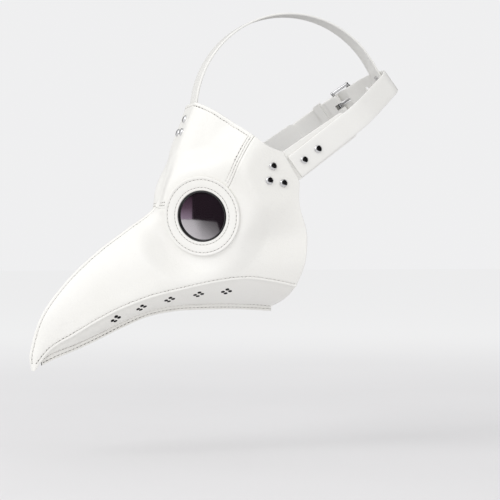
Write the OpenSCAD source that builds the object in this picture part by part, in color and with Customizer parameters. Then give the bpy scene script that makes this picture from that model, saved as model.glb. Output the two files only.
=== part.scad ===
// Plague doctor mask in white leathercloth: a beaked face shell of five sewn panels, two
// round goggle eyes, riveted temple tabs, a strap over the crown and a buckled strap round
// the back of the head.
// Millimetres. +X is the wearer's left, -Y is forward, +Z is up. The origin is the middle
// of the wearer's head at eye level.

/* [Leather] */
// Thickness of the leathercloth panels
panel_t = 2.2; // [1.6:0.1:2.6]
// Gap left between two pieces that lie on each other or meet edge to edge
lay_gap = 0.15; // [0.1:0.05:0.25]
// Depth of the lower panel's strip that is tucked behind the side panel
tuck = 8; // [5:1:11]
// Height of the fin where the two lower panels are sewn together
fin_h = 5; // [3:0.5:7]

/* [Beak and face] */
// Scale of the beak's reach in front of the eyes
beak_reach = 1; // [0.7:0.05:1.25]
// Scale of the beak's half width along its seam
beak_fullness = 1; // [0.8:0.05:1.2]
// Roundness of the lower panels between seam and keel
jaw_round = 0.45; // [0.2:0.05:0.7]

/* [Goggles] */
// Angle that a goggle is turned from the side towards the front
eye_turn = 35; // [28:1:40]
// Angle that a goggle looks down
eye_dip = 6; // [0:1:10]
// Outer radius of the leather ring
eye_ring_r = 38.4; // [35:0.2:40]
// Thickness of the leather ring
eye_ring_t = 2.5; // [2:0.1:3]
// Radius of the glass that shows
lens_sight_r = 22.9; // [19:0.1:26]
// Thickness of the glass
lens_t = 1.1; // [0.8:0.1:1.3]
// Width of the rubber lip round the glass
lip_w = 1.7; // [1.2:0.1:2.2]

/* [Vents] */
// Number of vent clusters on each side
vent_count = 5; // [3:1:6]
// Radius of one vent hole
vent_r = 2; // [1.2:0.1:2.1]
// Distance from a cluster's middle to each of its four holes
vent_spread = 3.5; // [3.2:0.1:4.5]

/* [Straps] */
// Width of every strap
strap_w = 24; // [18:1:26]
// Thickness of every strap
strap_t = 2; // [1.5:0.1:2.2]
// Half the width of the head strap, to the inside of the leather
strap_half = 76.8; // [76:0.2:80]
// Reach of the head strap behind the origin, along its own tilted plane
strap_back = 126; // [115:0.5:132]
// Tilt of the head strap above level
strap_tilt = 37.5; // [34:0.5:40]
// Radius of the crown strap
crown_r = 100; // [98:0.5:106]

/* [Rivets] */
// Radius of a rivet's domed head
rivet_r = 4; // [3:0.1:4.5]
// Height of a rivet's domed head
rivet_h = 2.2; // [1.5:0.1:2.8]
// Radius of a rivet's post
post_r = 1.25; // [1:0.05:1.5]
// Thickness of a rivet's inner cap
rivet_back_t = 1; // [0.8:0.1:1.2]

/* [Buckle] */
// Radius of the buckle's wire
wire_r = 1.6; // [1.4:0.05:1.8]
// Distance between the heel bar and the front bar
buckle_len = 18; // [16:0.5:20]
// Radius of the roller on the front bar
roller_r = 2.3; // [2.1:0.05:2.5]
// Radius of the tongue's wire
tongue_r = 1.2; // [1:0.05:1.4]
// Length of the keeper along the strap
keeper_len = 8; // [6:0.5:9]

/* [Hidden] */
$fn = 48;

leather_white = [0.93, 0.92, 0.89];
rubber_black = [0.08, 0.08, 0.09];
smoked_glass = [0.22, 0.18, 0.24];
rivet_metal = [0.35, 0.35, 0.37];
buckle_metal = [0.72, 0.72, 0.74];

// ---- Guide lines of the left half --------------------------------------------------------
// How far a forward reach is stretched: only what lies in front of the goggles grows
eye_mid_y = -103.2;
function stretched(y) = y < eye_mid_y ? eye_mid_y + (y - eye_mid_y) * beak_reach : y;
function reach(p) = [p[0], stretched(p[1]), p[2]];
function full(p) = [4.8 + (p[0] - 4.8) * beak_fullness, p[1], p[2]];

// Middle line: from the beak's tip over the ridge to the top of the forehead
middle_line = [for (p = [[0, -261.5, -149.5], [0, -263, -133], [0, -252, -97], [0, -227, -63],
    [0, -196, -34], [0, -167, -12.5], [0, -139.5, 9], [0, -130, 35], [0, -121.5, 61],
    [0, -112.5, 86], [0, -103, 111]]) reach(p)];
// Seam between side panel and lower panel: from the tip to the cheek
seam_line = [for (p = [[4.8, -259, -150.5], [8.5, -243, -130], [15, -222, -116.5],
    [22, -200, -102.5], [27.5, -176, -90], [34, -148, -79.5], [41, -118, -72],
    [47.5, -88, -65.5], [53.5, -60, -62.5], [58.5, -36, -65.5], [63, -14.5, -70]])
    reach(full(p))];
// Keel where the two lower panels meet: from the tip to the chin
keel_line = [for (p = [[0, -259, -149], [0, -240, -139.5], [0, -218, -130.8],
    [0, -197, -121.5], [0, -174, -110.5], [0, -147, -99.5], [0, -118, -94.2],
    [0, -88, -93], [0, -62, -93], [0, -40, -93.8], [0, -20, -95.3]]) reach(p)];
// Smooth rear rim, with the point before its start that keeps the forehead round
rim_line = [[-34, -94, 105], [0, -103, 111], [34, -94, 105], [60, -68, 83], [75, -40, 57],
    [80, -19, 27], [79, -10, -8], [75, -9, -43], [63, -14.5, -70]];
rim_steps = len(rim_line) - 2;
// Cut edge of the rim: the brow, the straight temple cut and the cheek
brow_edge = [[0, -103, 111], [18, -100.5, 109.6], [37, -91.5, 102.5], [56, -71, 85.5],
    [71, -50, 66.5], [79, -33, 59.5]];
cheek_edge = [[79, -16, 32], [79, -16, 9], [78, -8.7, -18], [74.5, -8.9, -46],
    [63, -14.5, -70]];
// Places of the seams and cuts as shares s from tip to rim and t from middle line to seam
root_s = 0.6;
corner_s = 0.76;
brow_t = 0.31;
side_cols = 16;
cut_start = mix(brow_t, 1, 3 / side_cols);
cut_end = mix(brow_t, 1, 6 / side_cols);

// ---- Curves and surfaces -----------------------------------------------------------------
// Point on a smooth curve through a list of points, v from 0 to 1 over the whole list
function spline(p, v) =
    let (last = len(p) - 1,
        a = max(0, min(last - 0.0001, v * last)),
        i = floor(a),
        f = a - i,
        p1 = p[i],
        p2 = p[i + 1],
        p0 = i > 0 ? p[i - 1] : 2 * p1 - p2,
        p3 = i + 2 <= last ? p[i + 2] : 2 * p2 - p1)
    p1 + 0.5 * f * (p2 - p0 + f * (2 * p0 - 5 * p1 + 4 * p2 - p3
        + f * (3 * (p1 - p2) + p3 - p0)));
// 0 below the first value, 1 above the second, and a smooth rise between
function rise(v, low, high) =
    let (f = max(0, min(1, (v - low) / (high - low)))) f * f * (3 - 2 * f);
function unit(v) = v / norm(v);
function mix(a, b, f) = a + (b - a) * f;

// Goggle: the plane that the face shell is flattened to
eye_mid = [43.5, eye_mid_y, -1.4];
eye_axis = [cos(eye_dip) * cos(eye_turn), -cos(eye_dip) * sin(eye_turn), -sin(eye_dip)];
eye_flat_r = eye_ring_r + 2;
eye_fade_r = eye_ring_r + 28;
nose_w = 17;
// Temple: where the shell is flattened for the tab and its rivets
temple_mid = [79, -40, 38];
temple_flat_r = 26;
temple_fade_r = 64;

function rim(t) = spline(rim_line, (1 + t * rim_steps) / (rim_steps + 1));
function cut_rim(t) =
    t < cut_start ? spline(brow_edge, t / cut_start)
    : t < cut_end ? mix(brow_edge[5], cheek_edge[0], (t - cut_start) / (cut_end - cut_start))
    : spline(cheek_edge, (t - cut_end) / (1 - cut_end));
// Part of the rim's bow that a section keeps: little on the beak, all on the forehead
function bow(s) = 0.3 + 0.7 * rise(s, 0.58, 0.85);
function side_bow(s) = 0.05 + 0.95 * pow(s, 2.4);
// The rim's bow in side view, turned and shrunk to the line from m0 to m1
function fitted_bow(off, m0, m1) =
    let (e = rim(1) - rim(0),
        m = m1 - m0,
        size2 = e[1] * e[1] + e[2] * e[2],
        a = (m[1] * e[1] + m[2] * e[2]) / size2,
        b = (m[2] * e[1] - m[1] * e[2]) / size2)
    [0, a * off[1] - b * off[2], b * off[1] + a * off[2]];
function plain_point(s, t) =
    let (top = spline(middle_line, s),
        low = spline(seam_line, s),
        off = rim(t) - rim(0) - t * (rim(1) - rim(0)))
    mix(top, low, t) + [side_bow(s) * off[0], 0, 0] + bow(s) * fitted_bow(off, top, low)
        + rise(s, 0.8, 1) * (cut_rim(t) - rim(t));
function eye_flattened(p) =
    let (off = (p - eye_mid) * eye_axis,
        flat_dist = norm(p - eye_mid - off * eye_axis))
    p - (1 - rise(flat_dist, eye_flat_r, eye_fade_r)) * rise(p[0], 0, nose_w) * off * eye_axis;
function temple_flattened(p) =
    let (dist = norm([0, p[1] - temple_mid[1], p[2] - temple_mid[2]]),
        f = 1 - rise(dist, temple_flat_r, temple_fade_r))
    [mix(p[0], temple_mid[0], f), p[1], p[2]];
// Forehead: flat behind the crown strap's end and its rivets
brow = middle_line[10];
brow_dir = unit(brow - middle_line[9]);
brow_out = [0, -brow_dir[2], brow_dir[1]];
brow_tail = 40;
function brow_flattened(p) =
    let (off = (p - brow) * brow_out,
        down = (brow - p) * brow_dir,
        f = (1 - rise(p[0], strap_w / 2 + 1, strap_w / 2 + 24))
            * (1 - rise(down, brow_tail + 2, brow_tail + 40)))
    p - f * off * brow_out;
// Outer face of the left half: s runs from the tip to the rim, t from the middle line to
// the seam; t below 0 is the right half
function face_point(s, t) =
    t < 0 ? let (p = face_point(s, -t)) [-p[0], p[1], p[2]]
    : eye_flattened(temple_flattened(brow_flattened(plain_point(s, t))));
function face_normal(s, t, low = 0) =
    let (h = 0.004)
    unit(cross(face_point(s, min(1, t + h)) - face_point(s, max(low, t - h)),
        face_point(min(1, s + h), t) - face_point(max(0, s - h), t)));

// ---- Panels ------------------------------------------------------------------------------
// Normals of a grid of points, from each point's neighbours
function grid_normals(g) =
    [for (i = [0 : len(g) - 1]) [for (j = [0 : len(g[0]) - 1])
        let (across = g[i][min(len(g[0]) - 1, j + 1)] - g[i][max(0, j - 1)],
            along = g[min(len(g) - 1, i + 1)][j] - g[max(0, i - 1)][j])
        unit(cross(across, along))]];
// Closed solid between a grid of points and the same grid moved in by a wall's thickness
module shell(g, normals, walls, middle_gap) {
    rows = len(g);
    cols = len(g[0]);
    inner = [for (i = [0 : rows - 1]) [for (j = [0 : cols - 1])
        let (p = g[i][j] - walls[i] * normals[i][j])
        [middle_gap > 0 ? max(middle_gap, p[0]) : p[0], p[1], p[2]]]];
    points = concat([for (row = g) for (p = row) p], [for (row = inner) for (p = row) p]);
    count = rows * cols;
    outer_faces = [for (i = [0 : rows - 2]) for (j = [0 : cols - 2])
        let (a = i * cols + j, b = a + 1, c = a + cols, d = c + 1)
        each [[a, c, b], [b, c, d]]];
    inner_faces = [for (f = outer_faces) [f[0] + count, f[2] + count, f[1] + count]];
    rim_loop = concat([for (j = [0 : cols - 1]) j],
        [for (i = [1 : rows - 1]) i * cols + cols - 1],
        [for (j = [1 : cols - 1]) rows * cols - 1 - j],
        [for (i = [1 : rows - 2]) (rows - 1 - i) * cols]);
    edge_faces = [for (k = [0 : len(rim_loop) - 1])
        let (a = rim_loop[k], b = rim_loop[(k + 1) % len(rim_loop)])
        each [[a, b, b + count], [a, b + count, a + count]]];
    polyhedron(points, concat(outer_faces, inner_faces, edge_faces));
}

// Where the side panel starts below the forehead panel: at the root it leaves the middle
// line, passes under the goggle's ring and climbs to the brow
function climb_t(s) = brow_t + 0.062 * pow((1 - s) / 0.17, 2);
function side_start(s) =
    s <= root_s ? 0
    : s < corner_s ? climb_t(corner_s) * pow((s - root_s) / (corner_s - root_s), 2 / 3)
    : climb_t(s);
beak_rows = 21;
root_rows = 8;
climb_rows = 9;
beak_values = [for (k = [0 : beak_rows]) root_s * k / beak_rows];
face_values = concat(
    [for (k = [1 : root_rows]) mix(root_s, corner_s, pow(k / root_rows, 1.5))],
    [for (k = [1 : climb_rows]) mix(corner_s, 1, k / climb_rows)]);
// The wall thins towards the tip, where the two sides close on each other
function wall(s) = panel_t * (0.3 + 0.7 * rise(s, -0.02, 0.12));
// Butt seams leave half of the lay gap on each side
seam_gap = lay_gap / 2;
function clear_of_middle(p) = [max(p[0], seam_gap), p[1], p[2]];

// Share t that half of a butt seam's gap takes up
seam_t = 0.0008;
module side_blank() {
    s_values = concat(beak_values, face_values);
    shares = [for (s = s_values)
        let (start = side_start(s) + (s > root_s ? seam_t : 0))
        [for (j = [0 : side_cols]) [s, mix(start, 1, j / side_cols)]]];
    shell([for (row = shares) [for (q = row) clear_of_middle(face_point(q[0], q[1]))]],
        [for (row = shares) [for (q = row) face_normal(q[0], q[1])]],
        [for (s = s_values) wall(s)], seam_gap);
}

forehead_cols = 8;
module forehead_blank() {
    shares = [for (s = face_values)
        let (end = min(side_start(s), side_start(s - 0.003)) - seam_t)
        [for (j = [-forehead_cols : forehead_cols]) [s, end * j / forehead_cols]]];
    // The wall is skived thin where the panel narrows to its point at the root
    shell([for (row = shares) [for (q = row) face_point(q[0], q[1])]],
        [for (row = shares) [for (q = row) face_normal(q[0], q[1], -1)]],
        [for (s = face_values) panel_t * (0.25 + 0.75 * rise(s, root_s, 0.68))], 0);
}

// Lower panel: its tucked strip, its round jaw and its half of the fin
lower_start = 0.04;
lower_rows = 30;
jaw_cols = 7;
function lower_top(s, t) = face_point(s, t) - (wall(s) + lay_gap) * face_normal(s, t);
fin_x = panel_t + seam_gap;
function jaw_point(s, u) =
    let (a = lower_top(s, 1),
        k = spline(keel_line, s),
        across = (1 - jaw_round) * (1 - u) + jaw_round * cos(90 * u),
        down = (1 - jaw_round) * u + jaw_round * sin(90 * u))
    [fin_x + max(0, a[0] - fin_x) * across, mix(a[1], k[1], u),
        mix(a[2], k[2] + fin_h, down)];
function tuck_share(s) =
    tuck / norm(face_point(s, 1) - face_point(s, 0.9)) * 0.1 * rise(s, 0, 0.3);
function lower_row(s) = concat(
    [for (v = [1, 0.5]) let (p = lower_top(s, 1 - v * tuck_share(s))) [max(fin_x, p[0]), p[1], p[2]]],
    [for (j = [0 : jaw_cols]) jaw_point(s, j / jaw_cols)],
    [for (v = [0.5, 1]) let (p = jaw_point(s, 1)) [p[0], p[1], p[2] - fin_h * v]]);
module lower_blank() {
    s_values = [for (i = [0 : lower_rows]) mix(lower_start, 1, i / lower_rows)];
    grid = [for (s = s_values) lower_row(s)];
    shell(grid, grid_normals(grid), [for (s = s_values) wall(s)], seam_gap);
}

// ---- Places ------------------------------------------------------------------------------
module eye_frame() {
    translate(eye_mid)
        rotate([0, acos(eye_axis[2]), atan2(eye_axis[1], eye_axis[0])]) children();
}
// Turned so that +Z is the given direction
module aimed(at, dir) {
    translate(at) rotate([0, acos(dir[2] / norm(dir)), atan2(dir[1], dir[0])]) children();
}
module right() { mirror([1, 0, 0]) children(); }

// Head strap's tilted plane: y runs back along the strap, z across its width
strap_z = 61.1;
module strap_frame() { translate([0, 0, strap_z]) rotate([strap_tilt, 0, 0]) children(); }

// ---- Rivets ------------------------------------------------------------------------------
head_rim = 0.5;
post_clear = 0.05;
// Domed head on z = 0 with its post below
module rivet(post_len) {
    rotate_extrude() polygon(concat([[0, 0], [rivet_r, 0]],
        [for (a = [0 : 15 : 90]) [rivet_r * cos(a), head_rim + (rivet_h - head_rim) * sin(a)]]));
    translate([0, 0, -post_len]) cylinder(r = post_r, h = post_len + head_rim);
}
// Inner cap that the post's end is spread into
cap_r = rivet_r - 0.4;
module rivet_cap() {
    difference() {
        cylinder(r = cap_r, h = rivet_back_t);
        translate([0, 0, rivet_back_t - 0.7]) cylinder(r = post_r + post_clear, h = 1);
    }
}
module post_hole() { translate([0, 0, -20]) cylinder(r = post_r + post_clear, h = 30); }

// ---- Head strap --------------------------------------------------------------------------
// The strap's inside line in its own plane, measured by its length l from the middle of the
// back, positive to the wearer's left: a flat for the crown strap, a round corner, a straight
// seat for the buckle, a second round corner, and a straight side that ends at the temple
flat_len = strap_w / 2 + 1;
seat_len = 48;
seat_turn = 55;
// Depth of the two corners and the seat together, in front of the middle of the back
rear_run = 80;
side_end = strap_back - rear_run;
// Two equations for the two corner radii: across the head and along it
run_x = strap_half - flat_len - seat_len * cos(seat_turn);
run_y = strap_back - side_end - seat_len * sin(seat_turn);
rest_x = 1 - sin(seat_turn);
rest_y = 1 - cos(seat_turn);
det = sin(seat_turn) * cos(seat_turn) - rest_x * rest_y;
back_r = (run_x * cos(seat_turn) - run_y * rest_x) / det;
side_r = (run_y * sin(seat_turn) - run_x * rest_y) / det;
function degrees(len, r) = len / r * 180 / PI;
l_back = flat_len + back_r * PI * seat_turn / 180;
l_seat = l_back + seat_len;
l_corner = l_seat + side_r * PI * (90 - seat_turn) / 180;
back_mid = [flat_len, strap_back - back_r];
side_mid = [strap_half - side_r, side_end];
function turn_side(l) =
    l < flat_len ? 0
    : l < l_back ? degrees(l - flat_len, back_r)
    : l < l_seat ? seat_turn
    : l < l_corner ? seat_turn + degrees(l - l_seat, side_r)
    : 90;
function path_side(l) =
    let (a = turn_side(l))
    l < flat_len ? [l, strap_back]
    : l < l_back ? back_mid + back_r * [sin(a), cos(a)]
    : l < l_seat ? back_mid + back_r * [sin(a), cos(a)] + (l - l_back) * [cos(a), -sin(a)]
    : l < l_corner ? side_mid + side_r * [sin(a), cos(a)]
    : [strap_half, side_end - (l - l_corner)];
function strap_path(l) = l < 0 ? let (p = path_side(-l)) [-p[0], p[1]] : path_side(l);
function strap_normal(l) =
    let (a = l < 0 ? -turn_side(-l) : turn_side(l)) [sin(a), cos(a)];
function on_strap(l, off) = strap_path(l) + off * strap_normal(l);
// Outline of a strap between two lengths, lifted off the inside line by a table of heights
function strap_outline(ls, heights) = concat(
    [for (l = ls) on_strap(l, lookup(l, heights))],
    [for (i = [len(ls) - 1 : -1 : 0]) on_strap(ls[i], lookup(ls[i], heights) + strap_t)]);
// Lengths about step apart from l0 up to, but not at, l1
function spaced(l0, l1, step) =
    let (n = ceil((l1 - l0) / step)) [for (k = [0 : n - 1]) l0 + (l1 - l0) * k / n];

// Where the side straps start on the tabs, as a place along the strap plane's y
strap_start = -25.5;
l_start = l_corner + side_end - strap_start;

// ---- Buckle ------------------------------------------------------------------------------
// The buckle sits on the right-hand seat; x of its own frame runs along the strap to the
// middle of the back, y outwards
seat_front = 13;
buckle_l = -(l_back + seat_front);
module seat_frame() {
    at = strap_path(buckle_l);
    strap_frame() translate([at[0], at[1], 0]) rotate([0, 0, seat_turn]) children();
}
heel_x = -buckle_len / 2;
bar_x = buckle_len / 2;
heel_y = strap_t / 2 - 0.05;
fold_clear = 0.1;
// The strap end that is folded round the heel bar
fold_r = wire_r + fold_clear;
fold_top = heel_y + fold_r + strap_t;
// The long strap passes under the roller and over the folded end
roller_clear = 0.3;
bar_y = strap_t + roller_clear + roller_r;
over_fold = fold_top + 0.25;
over_strap = strap_t + 0.2;
bar_r = roller_r - 0.9;
// Tongue: from the heel bar to just above the roller
tongue_clear = 0.3;
bar_span = norm([buckle_len, bar_y - heel_y]);
tongue_lift = roller_r + tongue_clear + tongue_r;
tongue_angle = atan2(bar_y - heel_y, buckle_len) + asin(tongue_lift / bar_span);
tongue_len = bar_span + 2.5;
eye_r = wire_r + 1.7;
pin_clear = 0.07;
frame_half = strap_w / 2 + 3;
knuckle_r = wire_r + 0.2;
// Long strap: heights above the inside line along the buckle
ramp_x = heel_x - 12.5;
long_heights = [[buckle_l - 60, over_strap], [buckle_l + ramp_x, over_strap],
    [buckle_l + heel_x - 4, over_fold], [buckle_l + heel_x + 3.5, over_fold],
    [buckle_l + 4.5, 0], [l_start, 0]];
tail_l = buckle_l - 62;
tongue_slot = [heel_x + 0.4, 2.4];
tongue_slot_w = 2 * tongue_r + 1.6;
spare_holes = [-28, -38, 26, 36];
spare_hole_r = 2;

module side_strap_left() color(leather_white) strap_frame() difference() {
    ls = concat(spaced(tail_l, -l_seat, 4), spaced(-l_seat, buckle_l + ramp_x, 4),
        [for (x = [ramp_x, heel_x - 4, heel_x + 3.5, 4.5]) buckle_l + x],
        spaced(-l_back, -flat_len, 4), [-flat_len], spaced(flat_len, l_back, 4),
        [l_back], spaced(l_seat, l_corner, 4), [l_corner, l_start]);
    translate([0, 0, -strap_w / 2])
        linear_extrude(strap_w) polygon(strap_outline(ls, long_heights));
    // Slot that the tongue stands in
    for (x = tongue_slot) hole_across(buckle_l + x, tongue_slot_w / 2);
    at = on_strap(buckle_l + tongue_slot[0], -3);
    translate([at[0], at[1], -tongue_slot_w / 2]) rotate([0, 0, seat_turn])
        cube([tongue_slot[1] - tongue_slot[0], 15, tongue_slot_w]);
    for (x = spare_holes) hole_across(buckle_l + x, spare_hole_r);
    for (y = tab_rivet_ys) hole_across(l_corner + side_end - y, post_r + post_clear);
    for (z = back_spots) translate([0, strap_back, z]) rotate([-90, 0, 0]) post_hole();
}
// Round hole through a strap at a length l
module hole_across(l, r) {
    at = on_strap(l, -4);
    out = strap_normal(l);
    aimed([at[0], at[1], 0], [out[0], out[1], 0]) cylinder(r = r, h = 16);
}

module side_strap_right() color(leather_white) {
    heel_l = -buckle_l - heel_x;
    fold_ls = concat([heel_l - 0.05, heel_l + 1, heel_l + 7],
        spaced(l_seat, l_corner, 4), [l_corner, l_start]);
    strap_frame() difference() {
        translate([0, 0, -strap_w / 2]) linear_extrude(strap_w) mirror([1, 0]) polygon(
            strap_outline(fold_ls, [[heel_l, heel_y + fold_r], [heel_l + 1, heel_y + fold_r],
                [heel_l + 7, 0], [l_start, 0]]));
        for (y = tab_rivet_ys) translate([-strap_half, y, 0]) rotate([0, 90, 0])
            cylinder(r = post_r + post_clear, h = 20, center = true);
        fold_slot();
    }
    seat_frame() difference() {
        union() {
            translate([heel_x, heel_y, -strap_w / 2]) rotate([0, 0, -90])
                rotate_extrude(angle = 180) translate([fold_r, 0]) square([strap_t, strap_w]);
            translate([0, 0, -strap_w / 2]) linear_extrude(strap_w) polygon(fold_under);
        }
        seat_slot();
    }
}
// Under layer of the fold: from the heel bar back along the inside of the strap
fold_low = heel_y - fold_r;
fold_end = heel_x - 12;
fold_under = [[heel_x + 0.01, fold_low], [heel_x - 1, fold_low], [heel_x - 7, -0.05],
    [fold_end, -0.05], [fold_end, -0.05 - strap_t], [heel_x - 7, -0.05 - strap_t],
    [heel_x - 1, fold_low - strap_t], [heel_x + 0.01, fold_low - strap_t]];
// Slot in the fold that leaves room for the tongue's eye
slot_w = 2 * tongue_r + 3.4;
module seat_slot() {
    translate([heel_x - 4.6, -10, -slot_w / 2]) cube([14, 20, slot_w]);
}
module fold_slot() {
    at = strap_path(buckle_l);
    translate([at[0], at[1], 0]) rotate([0, 0, seat_turn]) seat_slot();
}

module buckle_frame() color(buckle_metal) seat_frame() {
    span = [bar_x - heel_x, bar_y - heel_y, 0];
    translate([heel_x, heel_y, -frame_half]) cylinder(r = wire_r, h = 2 * frame_half);
    translate([bar_x, bar_y, -frame_half]) cylinder(r = bar_r, h = 2 * frame_half);
    for (z = [-frame_half, frame_half]) {
        aimed([heel_x, heel_y, z], span) cylinder(r = wire_r, h = norm(span));
        translate([heel_x, heel_y, z]) sphere(r = knuckle_r);
        translate([bar_x, bar_y, z]) sphere(r = knuckle_r);
    }
}
module buckle_roller() color(buckle_metal) seat_frame()
    translate([bar_x, bar_y, 0]) difference() {
        cylinder(r = roller_r, h = strap_w + 1.5, center = true);
        cylinder(r = bar_r + pin_clear, h = strap_w + 4, center = true);
    }
module buckle_tongue() color(buckle_metal) seat_frame()
    translate([heel_x, heel_y, 0]) difference() {
        union() {
            cylinder(r = eye_r, h = 2 * tongue_r + 0.4, center = true);
            rotate([0, 0, tongue_angle]) rotate([0, 90, 0]) {
                cylinder(r = tongue_r, h = tongue_len);
                translate([0, 0, tongue_len]) sphere(r = tongue_r);
            }
        }
        cylinder(r = wire_r + pin_clear, h = 10, center = true);
    }

// Leather keeper that holds the strap's tail down behind the buckle
keeper_x = heel_x - 22;
keeper_clear = 0.35;
keeper_t = 1.5;
keeper_low = -keeper_clear;
keeper_high = over_strap + strap_t + keeper_clear;
module keeper_block(grow, len) {
    translate([keeper_x - len / 2, keeper_low - grow, -strap_w / 2 - keeper_clear - grow])
        cube([len, keeper_high - keeper_low + 2 * grow, strap_w + 2 * (keeper_clear + grow)]);
}
module strap_keeper() color(leather_white) seat_frame() difference() {
    keeper_block(keeper_t, keeper_len);
    keeper_block(0, keeper_len + 2);
}

// ---- Temple tabs -------------------------------------------------------------------------
tab_x = strap_half - lay_gap - strap_t;
tab_front = -62;
tab_over = 0.3;
tab_rear = side_end + tab_over;
tab_mid_z = 3;
tab_wide = 16;
tab_narrow = 14;
tab_round = 5;
// Rivets through mask and tab, and through strap and tab, as [y, z] in the strap plane
temple_spots = [[-43.5, 15 - 1], [-54.7, 5.2], [-44.8, -5.2]];
tab_rivet_ys = [-14.5, 3.2];
// Outline with its corners rounded by arcs
function rounded(pts, r) = [for (i = [0 : len(pts) - 1])
    let (n = len(pts),
        p = pts[i],
        a = unit(pts[(i + n - 1) % n] - p),
        b = unit(pts[(i + 1) % n] - p),
        half = acos(a * b) / 2,
        mid = p + unit(a + b) * r / sin(half),
        from = p + a * r / tan(half) - mid,
        to = p + b * r / tan(half) - mid)
    for (k = [0 : 4]) mid + r * unit(mix(from, to, k / 4))];
tab_outline = rounded([[tab_front, tab_mid_z - tab_wide + 3], [tab_front, tab_mid_z + tab_wide],
    [-27, tab_mid_z + tab_wide], [tab_rear, tab_narrow], [tab_rear, -tab_narrow],
    [-27, tab_mid_z - tab_wide]], tab_round);
module temple_tab() color(leather_white) strap_frame() difference() {
    translate([tab_x, 0, 0]) rotate([90, 0, 90]) linear_extrude(strap_t) polygon(tab_outline);
    for (p = temple_spots) spot(p) post_hole();
    for (y = tab_rivet_ys) spot([y, 0]) post_hole();
}
// Frame on the outside of the temple, +Z out of the head
module spot(p) { translate([temple_mid[0], p[0], p[1]]) rotate([0, 90, 0]) children(); }
module temple_tab_left() temple_tab();
module temple_tab_right() right() temple_tab();

tab_depth = temple_mid[0] - tab_x;
post_end = 0.75;
module temple_rivets() color(rivet_metal) strap_frame()
    for (p = temple_spots) spot(p) translate([0, 0, 0.05]) rivet(tab_depth + post_end);
module temple_backs() color(rivet_metal) strap_frame()
    for (p = temple_spots) spot(p) translate([0, 0, -tab_depth - rivet_back_t - 0.05]) rivet_cap();
strap_drop = temple_mid[0] - strap_half - strap_t;
module tab_rivets() color(rivet_metal) strap_frame() for (y = tab_rivet_ys)
    spot([y, 0]) translate([0, 0, 0.05 - strap_drop]) rivet(tab_depth - strap_drop + post_end);
module tab_backs() color(rivet_metal) strap_frame() for (y = tab_rivet_ys)
    spot([y, 0]) translate([0, 0, -tab_depth - rivet_back_t - 0.05]) rivet_cap();
module temple_rivets_left() temple_rivets();
module temple_rivets_right() right() temple_rivets();
module temple_rivet_backs_left() temple_backs();
module temple_rivet_backs_right() right() temple_backs();
module tab_rivets_left() tab_rivets();
module tab_rivets_right() right() tab_rivets();
module tab_rivet_backs_left() tab_backs();
module tab_rivet_backs_right() right() tab_backs();

// ---- Crown strap -------------------------------------------------------------------------
// Its inside line in the middle plane, as [y, z]: up behind the forehead, over the crown and
// down behind the head strap
function side_view(p) = [p[1], p[2]];
crown_front = side_view(brow - brow_out * (panel_t + lay_gap + strap_t));
function in_strap(y, z) = [y * cos(strap_tilt) - z * sin(strap_tilt),
    strap_z + y * sin(strap_tilt) + z * cos(strap_tilt)];
crown_leg = strap_back - lay_gap - strap_t;
crown_back = in_strap(crown_leg, strap_w / 2 + 3);
crown_end = in_strap(crown_leg, -strap_w / 2 + 1);
// The arc over the crown passes through both ends with the crown radius
crown_chord = crown_back - crown_front;
crown_mid = (crown_front + crown_back) / 2 + unit([crown_chord[1], -crown_chord[0]])
    * sqrt(pow(crown_r, 2) - pow(norm(crown_chord) / 2, 2));
function angle_at(p) = atan2(p[1] - crown_mid[1], p[0] - crown_mid[0]);
crown_steps = 30;
crown_path = concat([crown_front - side_view(brow_dir) * brow_tail],
    [for (k = [0 : crown_steps])
        let (a = mix(angle_at(crown_front), angle_at(crown_back), k / crown_steps))
        crown_mid + crown_r * [cos(a), sin(a)]],
    [crown_end]);
function side_of(path, i) =
    let (last = len(path) - 1,
        a = i > 0 ? unit(path[i] - path[i - 1]) : unit(path[1] - path[0]),
        b = i < last ? unit(path[i + 1] - path[i]) : a,
        n = unit([-a[1] - b[1], a[0] + b[0]]))
    n / max(0.5, n * [-a[1], a[0]]);
module top_strap() color(leather_white) difference() {
    rotate([90, 0, 90]) linear_extrude(strap_w, center = true) polygon(concat(
        crown_path,
        [for (i = [len(crown_path) - 1 : -1 : 0]) crown_path[i] + strap_t * side_of(crown_path, i)]));
    for (p = forehead_spots) forehead_spot(p) post_hole();
    for (z = back_spots) back_spot(z) post_hole();
}
// Forehead rivets: one over two, as [x, distance down from the brow]
forehead_spots = [[0, 17], [-6.5, 31], [6.5, 31]];
module forehead_spot(p) {
    aimed([p[0], 0, 0] + brow - brow_dir * p[1], brow_out) children();
}
module forehead_rivets() color(rivet_metal) for (p = forehead_spots) forehead_spot(p)
    translate([0, 0, 0.05]) rivet(panel_t + lay_gap + strap_t + post_end);
module forehead_rivet_backs() color(rivet_metal) for (p = forehead_spots) forehead_spot(p)
    translate([0, 0, -panel_t - lay_gap - strap_t - rivet_back_t - 0.05]) rivet_cap();
// Rivets that join the crown strap to the head strap at the back, one above the other
back_spots = [-6, 6];
module back_spot(z) {
    strap_frame() translate([0, strap_back + strap_t, z]) rotate([-90, 0, 0]) children();
}
back_depth = 2 * strap_t + lay_gap;
module back_rivets() color(rivet_metal) for (z = back_spots) back_spot(z)
    translate([0, 0, 0.05]) rivet(back_depth + post_end);
module back_rivet_backs() color(rivet_metal) for (z = back_spots) back_spot(z)
    translate([0, 0, -back_depth - rivet_back_t - 0.05]) rivet_cap();

// ---- Panels with their holes -------------------------------------------------------------
lip_out_r = lens_sight_r + lip_w;
groove_r = lens_sight_r + 3.3;
gasket_r = lens_sight_r + 4.6;
eye_hole_r = gasket_r + 0.1;
module eye_hole() { eye_frame() cylinder(r = eye_hole_r, h = 60, center = true); }
module temple_holes() { strap_frame() for (p = temple_spots) spot(p) post_hole(); }

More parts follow.
